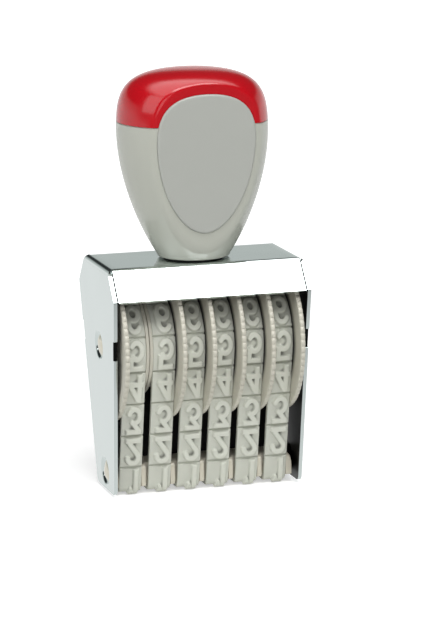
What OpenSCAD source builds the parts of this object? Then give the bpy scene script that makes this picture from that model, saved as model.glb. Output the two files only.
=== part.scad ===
// Six-band numbering stamp: a folded sheet frame carries six finger wheels on
// one axle. An endless rubber band runs round each wheel and under a bridge,
// whose flat underside backs the row of characters that prints.
// X runs along the axle, Y from the front to the back, Z up from the paper.

/* [Frame] */
// Height of the top plate above the paper
frame_h = 65; // [62:0.5:72]
// Thickness of the folded sheet
sheet_t = 1; // [0.8:0.1:1.2]
// Depth of the top plate between its two bevel flaps
top_depth = 25; // [23:0.5:28]
// Greatest depth of the side plates, where the flaps end
waist_depth = 38; // [34:0.5:40]
// Height over which each flap slopes down
flap_drop = 8; // [6:0.5:10]
// Depth of the side plates at the foot
foot_depth = 18.4; // [17:0.2:24]
// Clearance between the side plates and the paper
foot_gap = 0.9; // [0.5:0.1:1.2]
// Outer radius of the folds
fold_r = 1.6; // [1.4:0.1:2.2]
// Slit between a flap and the side plates
flap_slit = 0.45; // [0.2:0.05:0.5]
// Radius of the lower corners of the side plates
foot_r = 1.8; // [1:0.2:3]

/* [Dimples] */
// Outer radius of a pressed dimple
dimple_r = 4; // [3.6:0.1:4.4]
// Depth to which a dimple is pressed inwards
dimple_depth = 0.8; // [0.5:0.1:0.9]
// Height of the small notch in each vertical plate edge
notch_h = 5.4; // [4:0.2:7]
// Depth of that notch
notch_depth = 0.8; // [0.4:0.1:1.2]
// Height of the notch's middle above the axle
notch_rise = 1.3; // [0:0.1:2]

/* [Axle and rod] */
// Radius of the axle
axle_r = 2; // [1.8:0.1:2.4]
// Radius of the axle's riveted ends
axle_neck_r = 1.5; // [1.2:0.1:1.7]
// Radius of the bridge rod
rod_r = 1.5; // [1.2:0.1:1.8]
// Radius of a peened rivet head
rivet_head_r = 2.4; // [2.2:0.1:2.8]
// Height of a peened rivet head
rivet_head_h = 0.7; // [0.4:0.1:0.7]
// Thickness of the washers at the ends of the axle
washer_t = 0.6; // [0.4:0.1:0.6]
// Outer radius of those washers
washer_r = 3.6; // [3.2:0.1:3.6]
// Side play of the row of wheels at each end
end_play = 0.35; // [0.1:0.05:0.5]

/* [Wheels] */
// Radius of the knurled finger flange
flange_r = 21.4; // [19.5:0.1:22]
// Width of the knurled rim
rim_w = 1.3; // [1.2:0.05:1.5]
// Radial thickness of the rim
rim_t = 2.6; // [2:0.1:3.5]
// Thickness of the flange's web
web_t = 0.95; // [0.9:0.05:1.15]
// Radius of the small guide flange
guide_r = 14.2; // [13.8:0.1:14.6]
// Thickness of the small guide flange
guide_t = 0.85; // [0.7:0.05:1.1]
// Wall of the drum that drives the band
drum_wall = 1.3; // [1:0.1:1.8]
// Radius of the hub round the axle
hub_r = 4.2; // [3.6:0.1:5]
// Number of ridges round the rim
ridge_count = 78; // [60:2:90]
// Height of a ridge
ridge_h = 0.45; // [0.3:0.05:0.6]
// Clearance between the rims and the head of the handle's stud
crown_gap = 0.3; // [0.3:0.05:0.8]
// Clearance between two neighbouring wheels
wheel_gap = 0.1; // [0.1:0.05:0.2]

/* [Bands] */
// Width of a rubber band
band_w = 6.4; // [6:0.1:6.6]
// Thickness of the belt without its cells
belt_t = 0.7; // [0.7:0.05:0.9]
// Height of a cell's pad above the belt
pad_t = 0.7; // [0.5:0.05:0.8]
// Height of a character above its pad
relief = 0.8; // [0.6:0.05:1]
// Inner radius of the band round its wheel
loop_r = 12.7; // [12.2:0.1:13]
// Number of cells round a band
cell_count = 14; // [13, 14]
// Gap between neighbouring cells
cell_gap = 0.5; // [0.3:0.05:0.8]
// Height of a character
glyph_h = 7.6; // [7:0.1:7.8]
// Width of a character
glyph_w = 4.9; // [4.4:0.1:5.1]
// Width of a character's stroke
stroke = 1.4; // [1.2:0.1:1.5]
// Distance of the printing cell's middle behind the middle of the bridge
print_shift = 2; // [0:0.1:2]

/* [Bridge] */
// Depth of the bridge from front to back
bridge_depth = 10; // [9:0.2:11]
// Height of the bridge
bridge_h = 6.2; // [5.8:0.1:7]
// Height of the rod above the bridge's underside
rod_rise = 3.7; // [3.2:0.1:4]
// Clearance between each end of the bridge and the frame
bridge_gap = 0.3; // [0.2:0.1:0.9]
// Radius of the bridge's lower edges, over which the bands turn
turn_r = 0.5; // [0.4:0.1:0.9]
// Radius of the bridge's upper corners
bridge_corner_r = 1.6; // [1:0.1:2]
// Thickness of the ribs that keep the bands apart
rib_t = 1.2; // [1:0.1:1.4]
// Distance by which a rib stands out from the bridge
rib_reach = 1.6; // [1:0.1:1.8]
// Clearance between a rib and the band on its left
rib_gap = 0.1; // [0.1:0.05:0.3]

/* [Handle] */
// Height of the handle above its seat washer
handle_h = 52; // [48:0.5:56]
// Radius of the handle at its foot
neck_r = 10.2; // [9.4:0.1:11]
// Greatest radius of the handle
grip_r = 20.9; // [20.6:0.1:22]
// Height of the grip's widest place above the handle's foot
grip_z = 35.5; // [34:0.5:37]
// Distance between the two flat faces at the handle's foot
grip_depth_low = 22.8; // [21.8:0.2:23.6]
// Distance between the two flat faces at the handle's top
grip_depth_high = 31.6; // [30.4:0.2:32.2]
// Height above the handle's foot at which the cap meets the body
split_z = 37.8; // [36:0.2:39]
// Radius of the rounded edge at the handle's foot
foot_round = 0.8; // [0.4:0.1:1.2]
// Height of the lip on which the cap snaps into the body
cap_lip = 3; // [2:0.5:5]
// Wall thickness of the handle's shells
shell_t = 2.2; // [1.8:0.1:2.6]
// Thickness of a badge plate
badge_t = 1.2; // [1:0.1:1.5]
// Height by which a badge stands proud of the flat face
badge_proud = 0.3; // [0.1:0.05:0.5]
// Greatest width of a badge
badge_w = 27.8; // [26.4:0.2:28]
// Height of a badge's lower tip above the handle's foot
badge_low = 8; // [7.5:0.25:9]
// Height of a badge's upper end above the handle's foot
badge_high = 46.4; // [45.6:0.2:46.8]
// Height of a badge's widest place above the handle's foot
badge_wide_z = 34; // [33:0.25:35]

/* [Handle fixing] */
// Radius of the stud that holds the handle
stud_r = 3; // [2.5:0.1:3.2]
// Length of the stud above the top plate
stud_l = 20; // [16:0.5:24]
// Radius of the stud's flat head
stud_head_r = 5; // [4.4:0.1:5.6]
// Thickness of the stud's flat head
stud_head_t = 0.5; // [0.4:0.05:0.6]
// Radius of the seat washer under the handle
seat_r = 8.4; // [7.6:0.1:9]
// Thickness of the seat washer
seat_t = 0.4; // [0.3:0.05:0.6]
// Radius of the threaded insert
insert_r = 4.6; // [4.2:0.1:5]
// Length of the threaded insert
insert_l = 12; // [10:0.5:14]

/* [Hidden] */
run_gap = 0.05; // running fit on a shaft, and the side play of a wheel
seat_gap = 0.05; // clearance of a part seated in another
belt_gap = 0.15; // clearance between a drum and its band
eps = 0.01; // overshoot of a cut past a face
bands = 6; // bands and wheels in the row

band_pitch = band_w + guide_t + web_t + 2 * run_gap + wheel_gap;
stack_l = (bands - 1) * band_pitch + band_w + 2 * (run_gap + web_t);
band_x0 = -stack_l / 2 + run_gap + web_t;

bulge_x = stack_l / 2 + end_play + washer_t + seat_gap;
inner_x = bulge_x + dimple_depth;
frame_w = 2 * (inner_x + sheet_t);
axle_z = frame_h - sheet_t - stud_head_t - crown_gap - flange_r;
waist_z = frame_h - flap_drop;
top_y = top_depth / 2;
waist_y = waist_depth / 2;
foot_y = foot_depth / 2;
flap_angle = atan2(flap_drop, waist_y - top_y);

face_z = belt_t + pad_t + relief; // inner face of the bands over the paper
pad_z = belt_t + pad_t;
mid_t = belt_t / 2; // the belt's neutral line
turn_y = bridge_depth / 2 - turn_r;
turn_z = face_z + turn_r;
bridge_z = face_z + seat_gap;
bridge_l = 2 * (bulge_x - bridge_gap);
rod_z = bridge_z + rod_rise;

seat_z = frame_h + seat_t; // foot of the handle
split = seat_z + split_z;
lean = atan((grip_depth_high - grip_depth_low) / 2 / handle_h); // of the flat faces

$fn = 72;

// ---- helpers -------------------------------------------------------------

// Points on an elliptical arc.
function arc_points(centre, rx, ry, from, to, steps) =
    [for (i = [0:steps]) let (a = from + (to - from) * i / steps)
        [centre[0] + rx * cos(a), centre[1] + ry * sin(a)]];

// A point on a cubic curve with four control points.
function cubic(p, t) = pow(1 - t, 3) * p[0] + 3 * t * pow(1 - t, 2) * p[1]
    + 3 * t * t * (1 - t) * p[2] + pow(t, 3) * p[3];

// Extrudes an outline drawn in the YZ plane along X, centred on X = 0.
module along_x(length) {
    rotate([90, 0, 90])
        translate([0, 0, -length / 2])
            linear_extrude(length) children();
}

// A body of revolution about the X axis, its profile given as [radius, x].
module about_x(profile) {
    rotate([0, 90, 0]) rotate_extrude() polygon(profile);
}

// A cylinder along X from x0 to x1 at height z.
module rod_x(r, x0, x1, z) {
    translate([x0, 0, z]) rotate([0, 90, 0]) cylinder(r = r, h = x1 - x0);
}

// ---- frame ---------------------------------------------------------------

// The outline of a side plate in the YZ plane.
module plate_outline() {
    z0 = foot_gap + foot_r;
    slope = (waist_y - foot_y) / (waist_z - foot_gap);
    edge = atan(slope);
    centre = [foot_y + slope * foot_r - foot_r / cos(edge), z0];
    right = concat(
        arc_points(centre, foot_r, foot_r, -90, -edge, 6),
        [[waist_y, waist_z], [top_y, frame_h]]);
    left = [for (i = [len(right) - 1:-1:0]) [-right[i][0], right[i][1]]];
    polygon(concat(right, left));
}

// The sheet seen from the front: an arch with folded upper corners.
module arch_outline() {
    half = frame_w / 2;
    fold = [half - fold_r, frame_h - fold_r];
    outer = concat([[half, 0]], arc_points(fold, fold_r, fold_r, 0, 90, 6));
    inner_r = fold_r - sheet_t;
    inner = concat([[inner_x, 0]], arc_points(fold, inner_r, inner_r, 0, 90, 6));
    polygon(concat(outer,
        [for (i = [len(outer) - 1:-1:0]) [-outer[i][0], outer[i][1]]],
        [for (p = inner) [-p[0], p[1]]],
        [for (i = [len(inner) - 1:-1:0]) inner[i]]));
}

// The top plate and both flaps, seen from the side, as one bent strip.
module roof_outline() {
    turn = 90 - flap_angle;
    fold = [top_y - fold_r * tan((90 - turn) / 2), frame_h - fold_r];
    tip = [waist_y, waist_z];
    drop = [sin(turn), cos(turn)];
    outer = concat(arc_points(fold, fold_r, fold_r, 90, turn, 5), [tip]);
    inner_r = fold_r - sheet_t;
    inner = concat(arc_points(fold, inner_r, inner_r, 90, turn, 5),
        [tip - sheet_t * [drop[1], drop[0]]]);
    half = concat(outer, [for (i = [len(inner) - 1:-1:0]) inner[i]]);
    polygon(half);
    mirror([1, 0]) polygon(half);
    translate([-fold[0], frame_h - sheet_t]) square([2 * fold[0], sheet_t]);
}

// The inward swelling that a dimple raises on the plate's inner face.
module dimple_swell(z) {
    translate([inner_x + sheet_t / 2, 0, z]) rotate([0, -90, 0])
        cylinder(r1 = dimple_r + sheet_t / 2, r2 = dimple_r - dimple_depth + sheet_t / 2,
            h = dimple_depth + sheet_t / 2);
}

// The hollow of a dimple in the plate's outer face, with its rivet hole.
module dimple_hollow(z, hole_r) {
    translate([frame_w / 2 + eps, 0, z]) rotate([0, -90, 0])
        cylinder(r1 = dimple_r, r2 = dimple_r - dimple_depth, h = dimple_depth + eps);
    rod_x(hole_r, bulge_x - 1, frame_w / 2 + 1, z);
}

// The notch in one vertical edge of the right-hand plate.
module plate_notch(side) {
    z = axle_z + notch_rise;
    y = foot_y + (waist_y - foot_y) * (z - foot_gap) / (waist_z - foot_gap);
    translate([inner_x - 0.5, side * y - notch_depth, z - notch_h / 2])
        cube([sheet_t + 1, 2 * notch_depth, notch_h]);
}

module frame() {
    color([0.84, 0.86, 0.86]) difference() {
        union() {
            difference() {
                intersection() {
                    rotate([90, 0, 0]) translate([0, 0, -waist_y])
                        linear_extrude(waist_depth) arch_outline();
                    along_x(frame_w) plate_outline();
                }
                // the roof between the side plates is the bent strip below
                for (side = [-1, 1])
                    translate([-inner_x, side > 0 ? top_y - fold_r : -waist_y - 1, waist_z - 1])
                        cube([2 * inner_x, waist_y - top_y + fold_r + 1, flap_drop + 2]);
            }
            along_x(2 * (inner_x - flap_slit)) roof_outline();
            for (side = [0, 1]) mirror([side, 0, 0]) {
                dimple_swell(axle_z);
                dimple_swell(rod_z);
            }
        }
        for (side = [0, 1]) mirror([side, 0, 0]) {
            dimple_hollow(axle_z, axle_neck_r + seat_gap);
            dimple_hollow(rod_z, rod_r + seat_gap);
            plate_notch(1);
            plate_notch(-1);
        }
        translate([0, 0, frame_h - 2 * sheet_t]) cylinder(r = stud_r + seat_gap, h = 3 * sheet_t);
    }
}

// ---- axle, rod and washers -----------------------------------------------

// A shaft across the frame: the shank between the dimples, a neck through each
// side plate and a peened dome outside it, as one turned profile.
module riveted_shaft(r, neck, z) {
    floor_x = bulge_x + sheet_t;
    dome_r = (pow(rivet_head_r, 2) + pow(rivet_head_h, 2)) / (2 * rivet_head_h);
    dome = arc_points([floor_x + rivet_head_h - dome_r, 0], dome_r, dome_r,
        asin(rivet_head_r / dome_r), 0, 6);
    end = concat([[r, bulge_x], [neck, bulge_x], [neck, floor_x]],
        [for (p = dome) [p[1], p[0]]]);
    translate([0, 0, z]) about_x(concat(end,
        [for (i = [len(end) - 1:-1:0]) [end[i][0], -end[i][1]]]));
}

module axle() {
    color([0.75, 0.76, 0.78]) riveted_shaft(axle_r, axle_neck_r, axle_z);
}

module bridge_rod() {
    color([0.75, 0.76, 0.78]) riveted_shaft(rod_r, rod_r, rod_z);
}

// A washer whose outer face lies on the dimple's swelling, on the given side.
module axle_washer(side) {
    x = side * (bulge_x - washer_t / 2 - seat_gap);
    color([0.78, 0.79, 0.8]) difference() {
        rod_x(washer_r, x - washer_t / 2, x + washer_t / 2, axle_z);
        rod_x(axle_r + run_gap, x - washer_t, x + washer_t, axle_z);
    }
}

// ---- wheels --------------------------------------------------------------

// A toothed ring outline with rounded ridges.
function ridge_points(r) = [for (i = [0:4 * ridge_count - 1])
    let (a = 360 * i / (4 * ridge_count), lift = [0, 0.75, 1, 0.75][i % 4])
        (r - ridge_h * (1 - lift)) * [cos(a), sin(a)]];

// A wheel whose band seat starts at x = 0, its finger flange on the +X side.
module wheel_body() {
    seat_end = band_w + run_gap;
    drum_r = loop_r - belt_gap;
    rim_in = flange_r - ridge_h - rim_t;
    web_end = seat_end + web_t;
    rim_end = seat_end + rim_w;
    core_r = flange_r - ridge_h - 0.3;
    about_x([
        [axle_r + run_gap, -run_gap - guide_t], [hub_r, -run_gap - guide_t],
        [hub_r, seat_end], [drum_r - drum_wall, seat_end],
        [drum_r - drum_wall, -run_gap - guide_t], [guide_r, -run_gap - guide_t],
        [guide_r, -run_gap], [drum_r, -run_gap], [drum_r, seat_end],
        [core_r, seat_end], [core_r, rim_end], [rim_in, rim_end],
        [guide_r + 1.2, web_end], [axle_r + run_gap, web_end]]);
    translate([seat_end, 0, 0]) rotate([0, 90, 0]) difference() {
        linear_extrude(rim_w) polygon(ridge_points(flange_r));
        translate([0, 0, -1]) cylinder(r = core_r - 0.2, h = rim_w + 2);
    }
}

// Wheel k of the row, counted from 0. The first has its flange on the left.
module wheel(k) {
    x = band_x0 + k * band_pitch;
    color([0.87, 0.85, 0.78]) translate([x, 0, axle_z])
        if (k == 0) translate([band_w, 0, 0]) mirror([1, 0, 0]) wheel_body();
        else wheel_body();
}

// ---- bands ---------------------------------------------------------------

// The belt hangs from the wheel and turns round the bridge's lower edges. The
// plane of the loop is [u, z] with u towards the front. slant is the angle at
// which the straight runs meet both arcs.
reach = [-turn_y, axle_z - turn_z];
slant = atan2(reach[1], reach[0]) - acos(-(loop_r - turn_r) / norm(reach));
run_l = sqrt(pow(norm(reach), 2) - pow(loop_r - turn_r, 2));
turn_l = (turn_r + mid_t) * (slant + 90) * PI / 180;
wrap_l = (loop_r + mid_t) * (180 - 2 * slant) * PI / 180;
belt_l = 2 * (turn_y + turn_l + run_l) + wrap_l;
cell_pitch = belt_l / cell_count;

// A point of the front half of the loop at distance s from the middle of the
// print face, as [u, z, angle of the outward normal], offset e from the
// inner face.
function front_place(s, e) =
    s <= turn_y ? [s, face_z - e, -90] :
    s <= turn_y + turn_l
        ? let (a = -90 + (s - turn_y) / (turn_r + mid_t) * 180 / PI)
            [turn_y + (turn_r + e) * cos(a), turn_z + (turn_r + e) * sin(a), a] :
    s <= turn_y + turn_l + run_l
        ? let (d = s - turn_y - turn_l)
            [turn_y + (turn_r + e) * cos(slant) - d * sin(slant),
             turn_z + (turn_r + e) * sin(slant) + d * cos(slant), slant] :
    let (a = slant + (s - turn_y - turn_l - run_l) / (loop_r + mid_t) * 180 / PI)
        [(loop_r + e) * cos(a), axle_z + (loop_r + e) * sin(a), a];

// The same for the whole loop.
function place(s, e) = s <= belt_l / 2 ? front_place(s, e)
    : let (p = front_place(belt_l - s, e)) [-p[0], p[1], 180 - p[2]];

// The distance of cell c's middle round the loop.
function cell_s(c) = (c * cell_pitch - print_shift + belt_l) % belt_l;

// The closed outline of the loop, offset e from its inner face.
function loop_points(e) = concat(
    arc_points([turn_y, turn_z], turn_r + e, turn_r + e, -90, slant, 5),
    arc_points([0, axle_z], loop_r + e, loop_r + e, slant, 180 - slant, 36),
    arc_points([-turn_y, turn_z], turn_r + e, turn_r + e, 180 - slant, 270, 5));

// Moves children so that their +Z points out of the belt at distance s, with
// +X across the band and -Y towards the next lower cell.
module on_belt(s, e) {
    p = place(s, e);
    translate([0, -p[0], p[1]]) rotate([90 - p[2], 0, 0]) children();
}

// A straight stroke.
module bar(p, q) {
    n = stroke / 2 * [-(q - p)[1], (q - p)[0]] / norm(q - p);
    polygon([p + n, q + n, q - n, p - n]);
}

// A curved stroke along an elliptical arc.
module bow(centre, rx, ry, from, to, steps = 12) {
    polygon(concat(
        arc_points(centre, rx + stroke / 2, ry + stroke / 2, from, to, steps),
        [for (i = [steps:-1:0]) arc_points(centre, rx - stroke / 2, ry - stroke / 2,
            from, to, steps)[i]]));
}

// A closed oval stroke.
module oval(centre, rx, ry) {
    difference() {
        polygon(arc_points(centre, rx + stroke / 2, ry + stroke / 2, 0, 345, 23));
        polygon(arc_points(centre, rx - stroke / 2, ry - stroke / 2, 0, 345, 23));
    }
}

// One character, upright, centred on the origin. 10 to 12 are the dash, the
// stop and the slash, and 13 is a blank cell.
module glyph(n) {
    w = glyph_w / 2 - stroke / 2; // to the middle of the outer strokes
    h = glyph_h / 2 - stroke / 2;
    m = h / 2;
    if (n == 0) oval([0, 0], w, h);
    if (n == 1) {
        bar([w * 0.5, -h - stroke / 2], [w * 0.5, h + stroke / 2]);
        bar([-w * 0.7, m], [w * 0.5, h]);
    }
    if (n == 2) {
        bow([0, h - w], w, w, 170, -30);
        bar([w * cos(-30), h - w + w * sin(-30)], [-w, -h]);
        bar([-w - stroke / 2, -h], [w + stroke / 2, -h]);
    }
    if (n == 3) {
        bar([-w - stroke / 2, h], [w + stroke / 3, h]);
        bar([w * 0.85, h - stroke / 3], [-w * 0.15, h * 0.22]);
        bow([0, -h * 0.4], w, h * 0.6, 108, -160);
    }
    if (n == 4) {
        bar([w * 0.4, h + stroke / 2], [w * 0.4, -h - stroke / 2]);
        bar([w * 0.3, h], [-w, -m * 0.6]);
        bar([-w - stroke / 3, -m * 0.6], [w + stroke / 2, -m * 0.6]);
    }
    if (n == 5) {
        bar([-w - stroke / 2, h], [w + stroke / 3, h]);
        bar([-w, h], [-w, h * 0.15]);
        bow([0, -h * 0.39], w, h * 0.61, 150, -160);
    }
    if (n == 6) {
        oval([0, -h * 0.44], w, h * 0.56);
        bar([-w, -h * 0.44], [-w, h - w * 1.2]);
        bow([0, h - w * 1.2], w, w * 1.2, 180, 25);
    }
    if (n == 7) {
        bar([-w - stroke / 2, h], [w + stroke / 2, h]);
        bar([w, h], [-w * 0.5, -h - stroke / 2]);
    }
    if (n == 8) {
        oval([0, m * 1.05], w * 0.85, h - m * 1.05);
        oval([0, -m * 0.95], w, h - m * 0.95);
    }
    if (n == 9) rotate(180) glyph(6);
    if (n == 10) bar([-w, 0], [w, 0]);
    if (n == 11) translate([-stroke * 0.6, -h]) square(stroke * 1.2);
    if (n == 12) bar([-w, -h], [w, h]);
}

// Band k of the row, counted from 0: a belt, its cell pads and characters.
module band(k) {
    x = band_x0 + band_w / 2 + k * band_pitch;
    color([0.66, 0.69, 0.66]) translate([x, 0, 0]) {
        difference() {
            along_x(band_w) polygon(loop_points(pad_z));
            along_x(band_w + 1) polygon(loop_points(0));
            for (c = [0:cell_count - 1])
                on_belt(cell_s(c + 0.5), belt_t)
                    translate([-band_w, -cell_gap / 2, 0]) cube([2 * band_w, cell_gap, pad_t + 1]);
        }
        for (c = [0:cell_count - 2])
            on_belt(cell_s(c), belt_t)
                linear_extrude(pad_t + relief) mirror([0, 1]) glyph(c);
    }
}

// ---- bridge --------------------------------------------------------------

// A rectangle from [x0, y0] to [x1, y1] with rounded corners of radius r
// above and r_low below.
module rounded_block(x0, y0, x1, y1, r, r_low) {
    polygon(concat(
        arc_points([x1 - r, y1 - r], r, r, 0, 90, 6),
        arc_points([x0 + r, y1 - r], r, r, 90, 180, 6),
        arc_points([x0 + r_low, y0 + r_low], r_low, r_low, 180, 270, 6),
        arc_points([x1 - r_low, y0 + r_low], r_low, r_low, 270, 360, 6)));
}

// A slice of the bridge from x0 to x1, deeper by reach on both sides.
module bridge_slice(x0, x1, reach) {
    hd = bridge_depth / 2 - seat_gap + reach;
    translate([(x0 + x1) / 2, 0, 0]) along_x(x1 - x0)
        rounded_block(-hd, bridge_z, hd, bridge_z + bridge_h, bridge_corner_r, turn_r);
}

// The bridge is a comb: a bar with a rib in each gap between two bands and a
// block beside the outermost ones.
module bridge() {
    end = bridge_l / 2;
    row_end = band_x0 + (bands - 1) * band_pitch + band_w + rib_gap;
    color([0.88, 0.86, 0.78]) difference() {
        intersection() {
            union() {
                bridge_slice(-end, end, 0);
                for (k = [1:bands - 1]) {
                    x = band_x0 + (k - 1) * band_pitch + band_w + rib_gap;
                    bridge_slice(x, x + rib_t, rib_reach);
                }
                bridge_slice(-end, -row_end, rib_reach);
                bridge_slice(row_end, end, rib_reach);
            }
            rotate([90, 0, 0]) translate([0, 0, -bridge_depth])
                linear_extrude(2 * bridge_depth)
                    rounded_block(-end, bridge_z, end, bridge_z + bridge_h,
                        bridge_corner_r, turn_r);
        }
        rod_x(rod_r + seat_gap, -bridge_l, bridge_l, rod_z);
    }
}

// ---- handle --------------------------------------------------------------

// The outer profile of the handle as [radius, height] from its foot: a flare
// up to the widest place and a crown over the top.
flare = [[neck_r, foot_round], [neck_r + 4.4, 7.5], [grip_r, grip_z - 14], [grip_r, grip_z]];
crown = [[grip_r, grip_z], [grip_r, grip_z + 11.5], [grip_r - 2.4, handle_h], [0, handle_h]];
flare_points = [for (i = [0:14]) cubic(flare, i / 14)];
crown_points = [for (i = [1:16]) cubic(crown, i / 16)];
profile = concat(
    arc_points([neck_r - foot_round, foot_round], foot_round, foot_round, -90, -15, 3),
    flare_points, crown_points);

// The handle's solid of revolution, made smaller all over by inset.
module grip_solid(inset) {
    k = (grip_r - inset) / grip_r;
    pts = [for (p = profile) [p[0] * k, inset + p[1] * (handle_h - 2 * inset) / handle_h]];
    translate([0, 0, seat_z]) rotate_extrude() polygon(concat([[0, inset]], pts));
}

// Half the distance between the flat faces at a height above the foot.
function face_y(h) = (grip_depth_low + (grip_depth_high - grip_depth_low) * h / handle_h) / 2;

// The grip between its leaning flat faces, made smaller all over by inset and
// cut back by a depth at the faces.
module grip_block(inset, back) {
    corners = [[-1, -1], [1, -1], [1, handle_h + 1], [-1, handle_h + 1]];
    intersection() {
        grip_solid(inset);
        translate([-grip_r - 1, 0, seat_z]) rotate([90, 0, 90]) linear_extrude(2 * grip_r + 2)
            polygon([for (c = corners) [c[0] * (face_y(c[1]) - back), c[1]]]);
    }
}

// A slab wider than the grip, between two heights.
module slab(z0, z1) {
    translate([-grip_r - 1, -grip_r - 1, z0]) cube([2 * grip_r + 2, 2 * grip_r + 2, z1 - z0]);
}

// The side of a badge's oval as [half width, height], from its lower tip up to
// its widest place and on to its upper end.
badge_rise = (badge_wide_z - badge_low) * 0.46;
badge_fall = (badge_high - badge_wide_z) * 0.68;
badge_lower = [[0, badge_low], [badge_w / 4, badge_low],
    [badge_w / 2, badge_low + badge_rise], [badge_w / 2, badge_wide_z]];
badge_upper = [[badge_w / 2, badge_wide_z], [badge_w / 2, badge_wide_z + badge_fall],
    [badge_w / 3, badge_high], [0, badge_high]];
badge_side = concat(
    [for (i = [0:12]) cubic(badge_lower, i / 12)],
    [for (i = [1:12]) cubic(badge_upper, i / 12)]);

// The oval of a badge along its leaning face, grown on all sides.
function badge_points(grow) = let (
    half = badge_w / 2,
    reach = (badge_high - badge_low) / 2,
    middle = badge_low + reach,
    grown = [for (p = badge_side)
        [p[0] * (half + grow) / half,
            (middle + (p[1] - middle) * (reach + grow) / reach) / cos(lean)]])
    concat(grown, [for (i = [len(grown) - 2:-1:1]) [-grown[i][0], grown[i][1]]]);

// A badge plate or, when grown, the recess that holds it, between two distances
// out from the front face.
module badge_plate(from, to, grow) {
    translate([0, -face_y(0), seat_z]) rotate([90 + lean, 0, 0]) translate([0, 0, from])
        linear_extrude(to - from) polygon(badge_points(grow));
}

// Both badge recesses.
module badge_recesses() {
    for (side = [0, 1]) mirror([0, side, 0])
        badge_plate(badge_proud - badge_t - seat_gap, badge_proud + 1, seat_gap * 2);
}

module handle_body() {
    core_back = badge_t + shell_t;
    color([0.72, 0.73, 0.69]) difference() {
        intersection() {
            grip_block(0, 0);
            slab(0, split);
        }
        difference() {
            grip_block(shell_t, core_back);
            translate([0, 0, seat_z]) cylinder(r = insert_r + shell_t, h = insert_l + 2 * shell_t);
            slab(0, seat_z + 2 * shell_t);
        }
        translate([0, 0, seat_z - 1]) cylinder(r = stud_r + seat_gap, h = insert_l + 20);
        translate([0, 0, seat_z + shell_t])
            cylinder(r = insert_r + seat_gap, h = insert_l + 2 * shell_t + 1);
        badge_recesses();
    }
}

module handle_cap() {
    core_back = badge_t + shell_t;
    color([0.8, 0.1, 0.13]) difference() {
        union() {
            intersection() {
                grip_block(0, 0);
                slab(split, split + handle_h);
            }
            intersection() {
                grip_block(shell_t + seat_gap, core_back + seat_gap);
                slab(split - cap_lip, split + 1);
            }
        }
        grip_block(2 * shell_t, core_back + shell_t);
        badge_recesses();
    }
}

module badge_front() {
    color([0.69, 0.7, 0.67]) badge_plate(badge_proud - badge_t, badge_proud, 0);
}

module badge_back() {
    mirror([0, 1, 0]) badge_front();
}

// ---- handle fixing -------------------------------------------------------

module handle_stud() {
    color([0.75, 0.76, 0.78]) translate([0, 0, frame_h - sheet_t - stud_head_t]) {
        cylinder(r = stud_head_r, h = stud_head_t);
        cylinder(r = stud_r, h = stud_head_t + sheet_t + stud_l);
    }
}

module handle_seat_washer() {
    color([0.12, 0.12, 0.12]) translate([0, 0, frame_h]) difference() {
        cylinder(r = seat_r, h = seat_t);
        translate([0, 0, -1]) cylinder(r = stud_r + seat_gap, h = seat_t + 2);
    }
}

module handle_insert() {
    color([0.8, 0.66, 0.36]) translate([0, 0, seat_z + shell_t]) difference() {
        cylinder(r = insert_r, h = insert_l);
        translate([0, 0, -1]) cylinder(r = stud_r + run_gap, h = insert_l + 2);
    }
}

// ---- nodes ---------------------------------------------------------------

frame();
axle();
axle_washer(-1);  // axle_washer_left
axle_washer(1);  // axle_washer_right
wheel(0);  // wheel_1
wheel(1);  // wheel_2
wheel(2);  // wheel_3
wheel(3);  // wheel_4
wheel(4);  // wheel_5
wheel(5);  // wheel_6
band(0);  // band_1
band(1);  // band_2
band(2);  // band_3
band(3);  // band_4
band(4);  // band_5
band(5);  // band_6
bridge();
bridge_rod();
handle_stud();
handle_seat_washer();
handle_insert();
handle_body();
handle_cap();
badge_front();
badge_back();
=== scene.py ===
"""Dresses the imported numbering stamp: chromed frame, finger wheels, digit bands and handle.

X runs along the axle, Y from the front to the back and Z up from the paper. Shapes
are worked out in millimetres and become metres when they turn into a mesh.
"""

from __future__ import annotations

import logging
import math
from collections.abc import Callable, Iterable, Sequence
from dataclasses import dataclass, field
from enum import Enum

import bmesh
import bpy
import numpy as np
from mathutils import Matrix, Vector
from mathutils.geometry import delaunay_2d_cdt

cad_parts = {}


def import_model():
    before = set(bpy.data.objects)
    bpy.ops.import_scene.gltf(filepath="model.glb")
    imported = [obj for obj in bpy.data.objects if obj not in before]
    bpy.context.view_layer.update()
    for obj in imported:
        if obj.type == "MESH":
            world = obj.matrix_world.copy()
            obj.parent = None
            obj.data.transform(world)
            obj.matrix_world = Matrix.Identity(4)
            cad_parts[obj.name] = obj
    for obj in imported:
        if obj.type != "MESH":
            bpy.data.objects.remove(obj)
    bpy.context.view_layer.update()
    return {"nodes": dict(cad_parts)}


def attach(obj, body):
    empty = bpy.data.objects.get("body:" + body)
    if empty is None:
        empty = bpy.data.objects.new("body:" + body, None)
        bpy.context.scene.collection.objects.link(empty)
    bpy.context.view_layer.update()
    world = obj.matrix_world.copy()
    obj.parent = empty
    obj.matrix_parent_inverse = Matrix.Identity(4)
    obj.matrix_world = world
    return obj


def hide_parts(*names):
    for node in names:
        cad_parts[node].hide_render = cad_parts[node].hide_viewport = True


LOG = logging.getLogger("stamp")
MM = 0.001
HAIR = 1e-6
WELD_M = 2e-6
SEED = 7
Array = np.ndarray
Socket = bpy.types.NodeSocket

# What several pieces share, in millimetres: how many bands there are, how far apart they
# stand, where the first begins and how wide each is, how high the axle and the bridge's
# rod lie, and how thick the frame's sheet is.
BANDS = 6
PITCH = 8.4
BAND_X0 = -24.2
BAND_W = 6.4
AXLE_Z = 41.8
ROD_Z = 5.95
SHEET = 1.0


# ---- meshes --------------------------------------------------------------


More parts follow.
